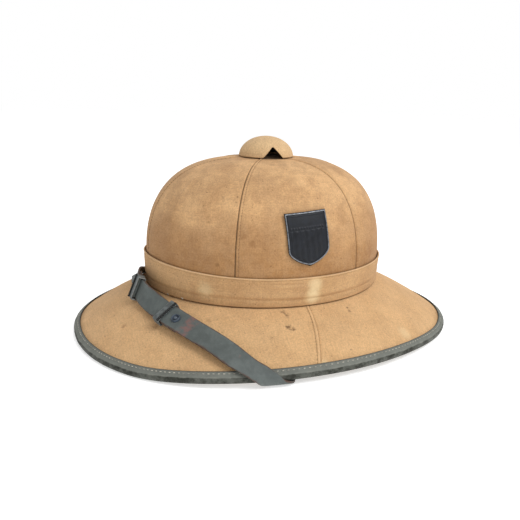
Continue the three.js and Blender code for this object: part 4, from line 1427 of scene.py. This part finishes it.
class HELMET_OT_fittings(bpy.types.Operator):
    """Slides, studs and rivets of the strap"""

    bl_idname = "helmet.fittings"
    bl_label = "Strap fittings"

    def execute(self, context):
        self.slide("slide_left", SLIDE_LEFT, -1)
        self.slide("slide_right", SLIDE_RIGHT, 1)
        self.stud("stud_left", STUD_LEFT)
        self.stud("stud_right", STUD_RIGHT)
        self.rivet("rivet_left", RIVET_FROM_END)
        self.rivet("rivet_right", route.length - RIVET_FROM_END)
        return {"FINISHED"}

    def slide(self, node, distance, bar_side):
        """A bent sleeve of sheet with a flat lip and a ribbed bar on top."""
        half_width = STRAP_WIDTH / 2 + SLIDE_PLAY + SLIDE_WALL
        half_height = STRAP_THICKNESS + GAP / 2 + SLIDE_PLAY + SLIDE_WALL
        outline = rounded_rectangle(half_width, half_height, 1.2 * MM, 5)
        count = len(outline)

        def place(u, v):
            y, z = outline[round(u * count) % count]
            return Vector(((v - 0.5) * SLIDE_LENGTH, y, z))

        sleeve = grid(count, 6, place, (0.05, SLIDE_LENGTH), around=True)
        bmesh.ops.recalc_face_normals(sleeve, faces=sleeve.faces)
        self.mark_wear(sleeve, lambda co: 0.3 + 0.5 * (co.x * bar_side < -0.36 * SLIDE_LENGTH))
        matrix = route.matrix(distance, -LAYER_DROP / 2)
        bmesh.ops.transform(sleeve, matrix=matrix, verts=sleeve.verts)
        made = piece(f"{node}_sleeve", sleeve, ["slide metal"], "slide_metal", node)
        thicken(made, SLIDE_WALL)
        soften(made, 0.3 * MM)

        ribs = 11
        radius = 1.15 * MM
        bar_at = bar_side * (SLIDE_LENGTH / 2 - 1 * MM)

        def bar_place(u, v):
            along = lerp(-half_width, half_width, v)
            rib = 0.5 - 0.5 * math.cos(math.tau * ribs * v)
            end = ease(half_width - abs(along), 0, 0.5 * MM)
            r = radius * (0.72 + 0.28 * rib) * (0.35 + 0.65 * end)
            angle = math.tau * u
            height = half_height + 0.25 * MM + r * math.sin(angle)
            return Vector((bar_at + r * math.cos(angle), along, height))

        def bar_wear(co):
            return clamp((math.hypot(co.x - bar_at, co.z - half_height) / radius - 0.8) * 3)

        bar = grid(16, ribs * 8, bar_place, (0.007, 0.02), around=True)
        bmesh.ops.holes_fill(bar, edges=[e for e in bar.edges if e.is_boundary], sides=0)
        bmesh.ops.recalc_face_normals(bar, faces=bar.faces)
        self.mark_wear(bar, bar_wear)
        bmesh.ops.transform(bar, matrix=matrix, verts=bar.verts)
        piece(f"{node}_bar", bar, ["bar metal"], "slide_metal")

    def stud(self, node, distance):
        """Round stud with a sunk ring and a dimpled middle, on its shank and back plate."""
        under = -LAYER_DROP - STRAP_THICKNESS / 2 - GAP
        plate = [(0, under - 0.7 * MM), (0.68, under - 0.7 * MM), (0.7, under - 0.5 * MM), (0.7, under)]
        head = [(1, 0.35), (0.94, 0.7), (0.82, 0.86), (0.7, 0.8), (0.6, 0.42), (0.5, 0.38), (0.42, 0.6)]
        head += [(0.3, 0.9), (0.15, 1), (0, 0.94)]
        self.headed(node, distance, 40, (STUD_RADIUS, STUD_HEIGHT), (plate, under), head)

    def rivet(self, node, distance):
        """Low round head on a shank through the brim."""
        deep = -STRAP_THICKNESS / 2 - UNDER_CLEARANCE - RIVET_DEPTH
        head = [(1, 0.4), (0.75, 0.85), (0.4, 1), (0, 1)]
        self.headed(node, distance, 28, (RIVET_RADIUS, RIVET_HEAD), ([(0, deep)], deep), head)

    def headed(self, node, distance, steps, size, below, head):
        """Turned piece; its plate's and head's radii, and its head's heights, are shares of its size."""
        radius, tall = size
        plate, shank_foot = below
        foot = STRAP_THICKNESS / 2 + GAP * 0.2
        profile = [(share * radius, z) for share, z in plate]
        profile += [(SHANK_RADIUS, shank_foot), (SHANK_RADIUS, foot), (radius, foot)]
        profile += [(share * radius, foot + rise * tall) for share, rise in head]
        bm = spun(profile, steps)
        self.mark_wear(bm, lambda co: clamp((co.z - foot) / tall) ** 2)
        bmesh.ops.transform(bm, matrix=route.matrix(distance, 0), verts=bm.verts)
        soften(piece(f"{node}_head", bm, ["stud metal"], "stud_metal", node), 0.12 * MM)

    def mark_wear(self, bm, wear_at):
        """Writes how worn each point is."""
        layer = bm.verts.layers.float.new("Wear")
        for vert in bm.verts:
            vert[layer] = wear_at(vert.co)


def rounded_rectangle(half_width, half_height, corner, steps):
    """(y, z) points round a rectangle with rounded corners."""
    points = []
    for quarter, (right, up) in enumerate(((1, 1), (-1, 1), (-1, -1), (1, -1))):
        y = right * (half_width - corner)
        z = up * (half_height - corner)
        for k in range(steps + 1):
            angle = (quarter + k / steps) * math.pi / 2
            points.append((y + corner * math.cos(angle), z + corner * math.sin(angle)))
    return points


class HELMET_OT_stage(bpy.types.Operator):
    """Camera, pale floor and soft light"""

    bl_idname = "helmet.stage"
    bl_label = "Stage"

    def execute(self, context):
        stage = context.scene.helmet_stage
        self.camera(context, stage)
        self.floor(context, stage)
        self.lights(context, stage)
        context.scene.view_settings.view_transform = "Standard"
        return {"FINISHED"}

    def camera(self, context, stage):
        azimuth, roll = stage.azimuth, stage.roll
        level = math.cos(stage.elevation)
        back = Vector((math.sin(azimuth) * level, -math.cos(azimuth) * level, math.sin(stage.elevation)))
        right = Vector((math.cos(azimuth), math.sin(azimuth), 0))
        up = back.cross(right)
        tilted_right = right * math.cos(roll) + up * math.sin(roll)
        tilted_up = up * math.cos(roll) - right * math.sin(roll)
        data = bpy.data.cameras.new("Camera")
        data.lens = stage.lens
        data.sensor_width = 36
        data.clip_start = 0.01
        camera = bpy.data.objects.new("Camera", data)
        turned = Matrix((tilted_right, tilted_up, back)).transposed().to_4x4()
        camera.matrix_world = Matrix.Translation(LOOKED_AT + back * stage.distance) @ turned
        context.scene.collection.objects.link(camera)
        context.scene.camera = camera

    def floor(self, context, stage):
        bm = bmesh.new()
        bmesh.ops.create_grid(bm, x_segments=1, y_segments=1, size=6)
        mesh = bpy.data.meshes.new("floor")
        bm.to_mesh(mesh)
        bm.free()
        floor = bpy.data.objects.new("floor", mesh)
        context.scene.collection.objects.link(floor)
        made, tree, shader = new_material("floor")
        feed(tree, shader, {"Base Color": (*stage.floor_colour, 1), "Roughness": 0.9})
        feed(tree, shader, {"Emission Color": (1, 1, 1, 1), "Emission Strength": stage.floor_glow})
        mesh.materials.append(made)

    def lights(self, context, stage):
        for name, place, size, power in (
            ("Key", Vector((0.85, 0.55, 1.2)), 0.9, stage.key_power),
            ("Fill", Vector((0.9, -0.7, 0.7)), 1.2, 0.3 * stage.fill_power),
            ("Back", Vector((-0.9, 0.3, 1.0)), 1.0, stage.fill_power),
        ):
            data = bpy.data.lights.new(name, "AREA")
            data.shape = "DISK"
            data.size = size
            data.energy = power
            light = bpy.data.objects.new(name, data)
            light.location = place
            light.rotation_euler = (Vector((0, 0, 0.06)) - place).to_track_quat("-Z", "Y").to_euler()
            context.scene.collection.objects.link(light)
        world = bpy.data.worlds.new("Studio")
        world.use_nodes = True
        tree = world.node_tree
        seen = tree.nodes.new("ShaderNodeLightPath").outputs["Is Camera Ray"]
        strength = remap(tree, seen, 0, 1, stage.sky, 1.0)
        feed(tree, tree.nodes["Background"], {"Color": (1, 1, 1, 1), "Strength": strength})
        context.scene.world = world


PIECES = [
    HELMET_OT_shell,
    HELMET_OT_crown,
    HELMET_OT_brim,
    HELMET_OT_band,
    HELMET_OT_binding,
    HELMET_OT_button,
    HELMET_OT_badge,
    HELMET_OT_strap,
    HELMET_OT_fittings,
    HELMET_OT_stage,
]


class HELMET_PT_panel(bpy.types.Panel):
    """The helmet's pieces and settings"""

    bl_label = "Pith Helmet"
    bl_space_type = "VIEW_3D"
    bl_region_type = "UI"
    bl_category = "Helmet"

    def draw(self, context):
        for made in PIECES:
            self.layout.operator(made.bl_idname)
        for group in (context.scene.helmet_looks, context.scene.helmet_stage):
            for key in group.__annotations__:
                self.layout.prop(group, key)


CLASSES = [HelmetLooks, HelmetStage, *PIECES, HELMET_PT_panel]


def register():
    for made in CLASSES:
        bpy.utils.register_class(made)
    bpy.types.Scene.helmet_looks = bpy.props.PointerProperty(type=HelmetLooks)
    bpy.types.Scene.helmet_stage = bpy.props.PointerProperty(type=HelmetStage)


def unregister():
    del bpy.types.Scene.helmet_stage
    del bpy.types.Scene.helmet_looks
    for made in reversed(CLASSES):
        bpy.utils.unregister_class(made)


def main():
    register()
    for made in PIECES:
        area, action = made.bl_idname.split(".")
        getattr(getattr(bpy.ops, area), action)()


if __name__ == "__main__":
    main()
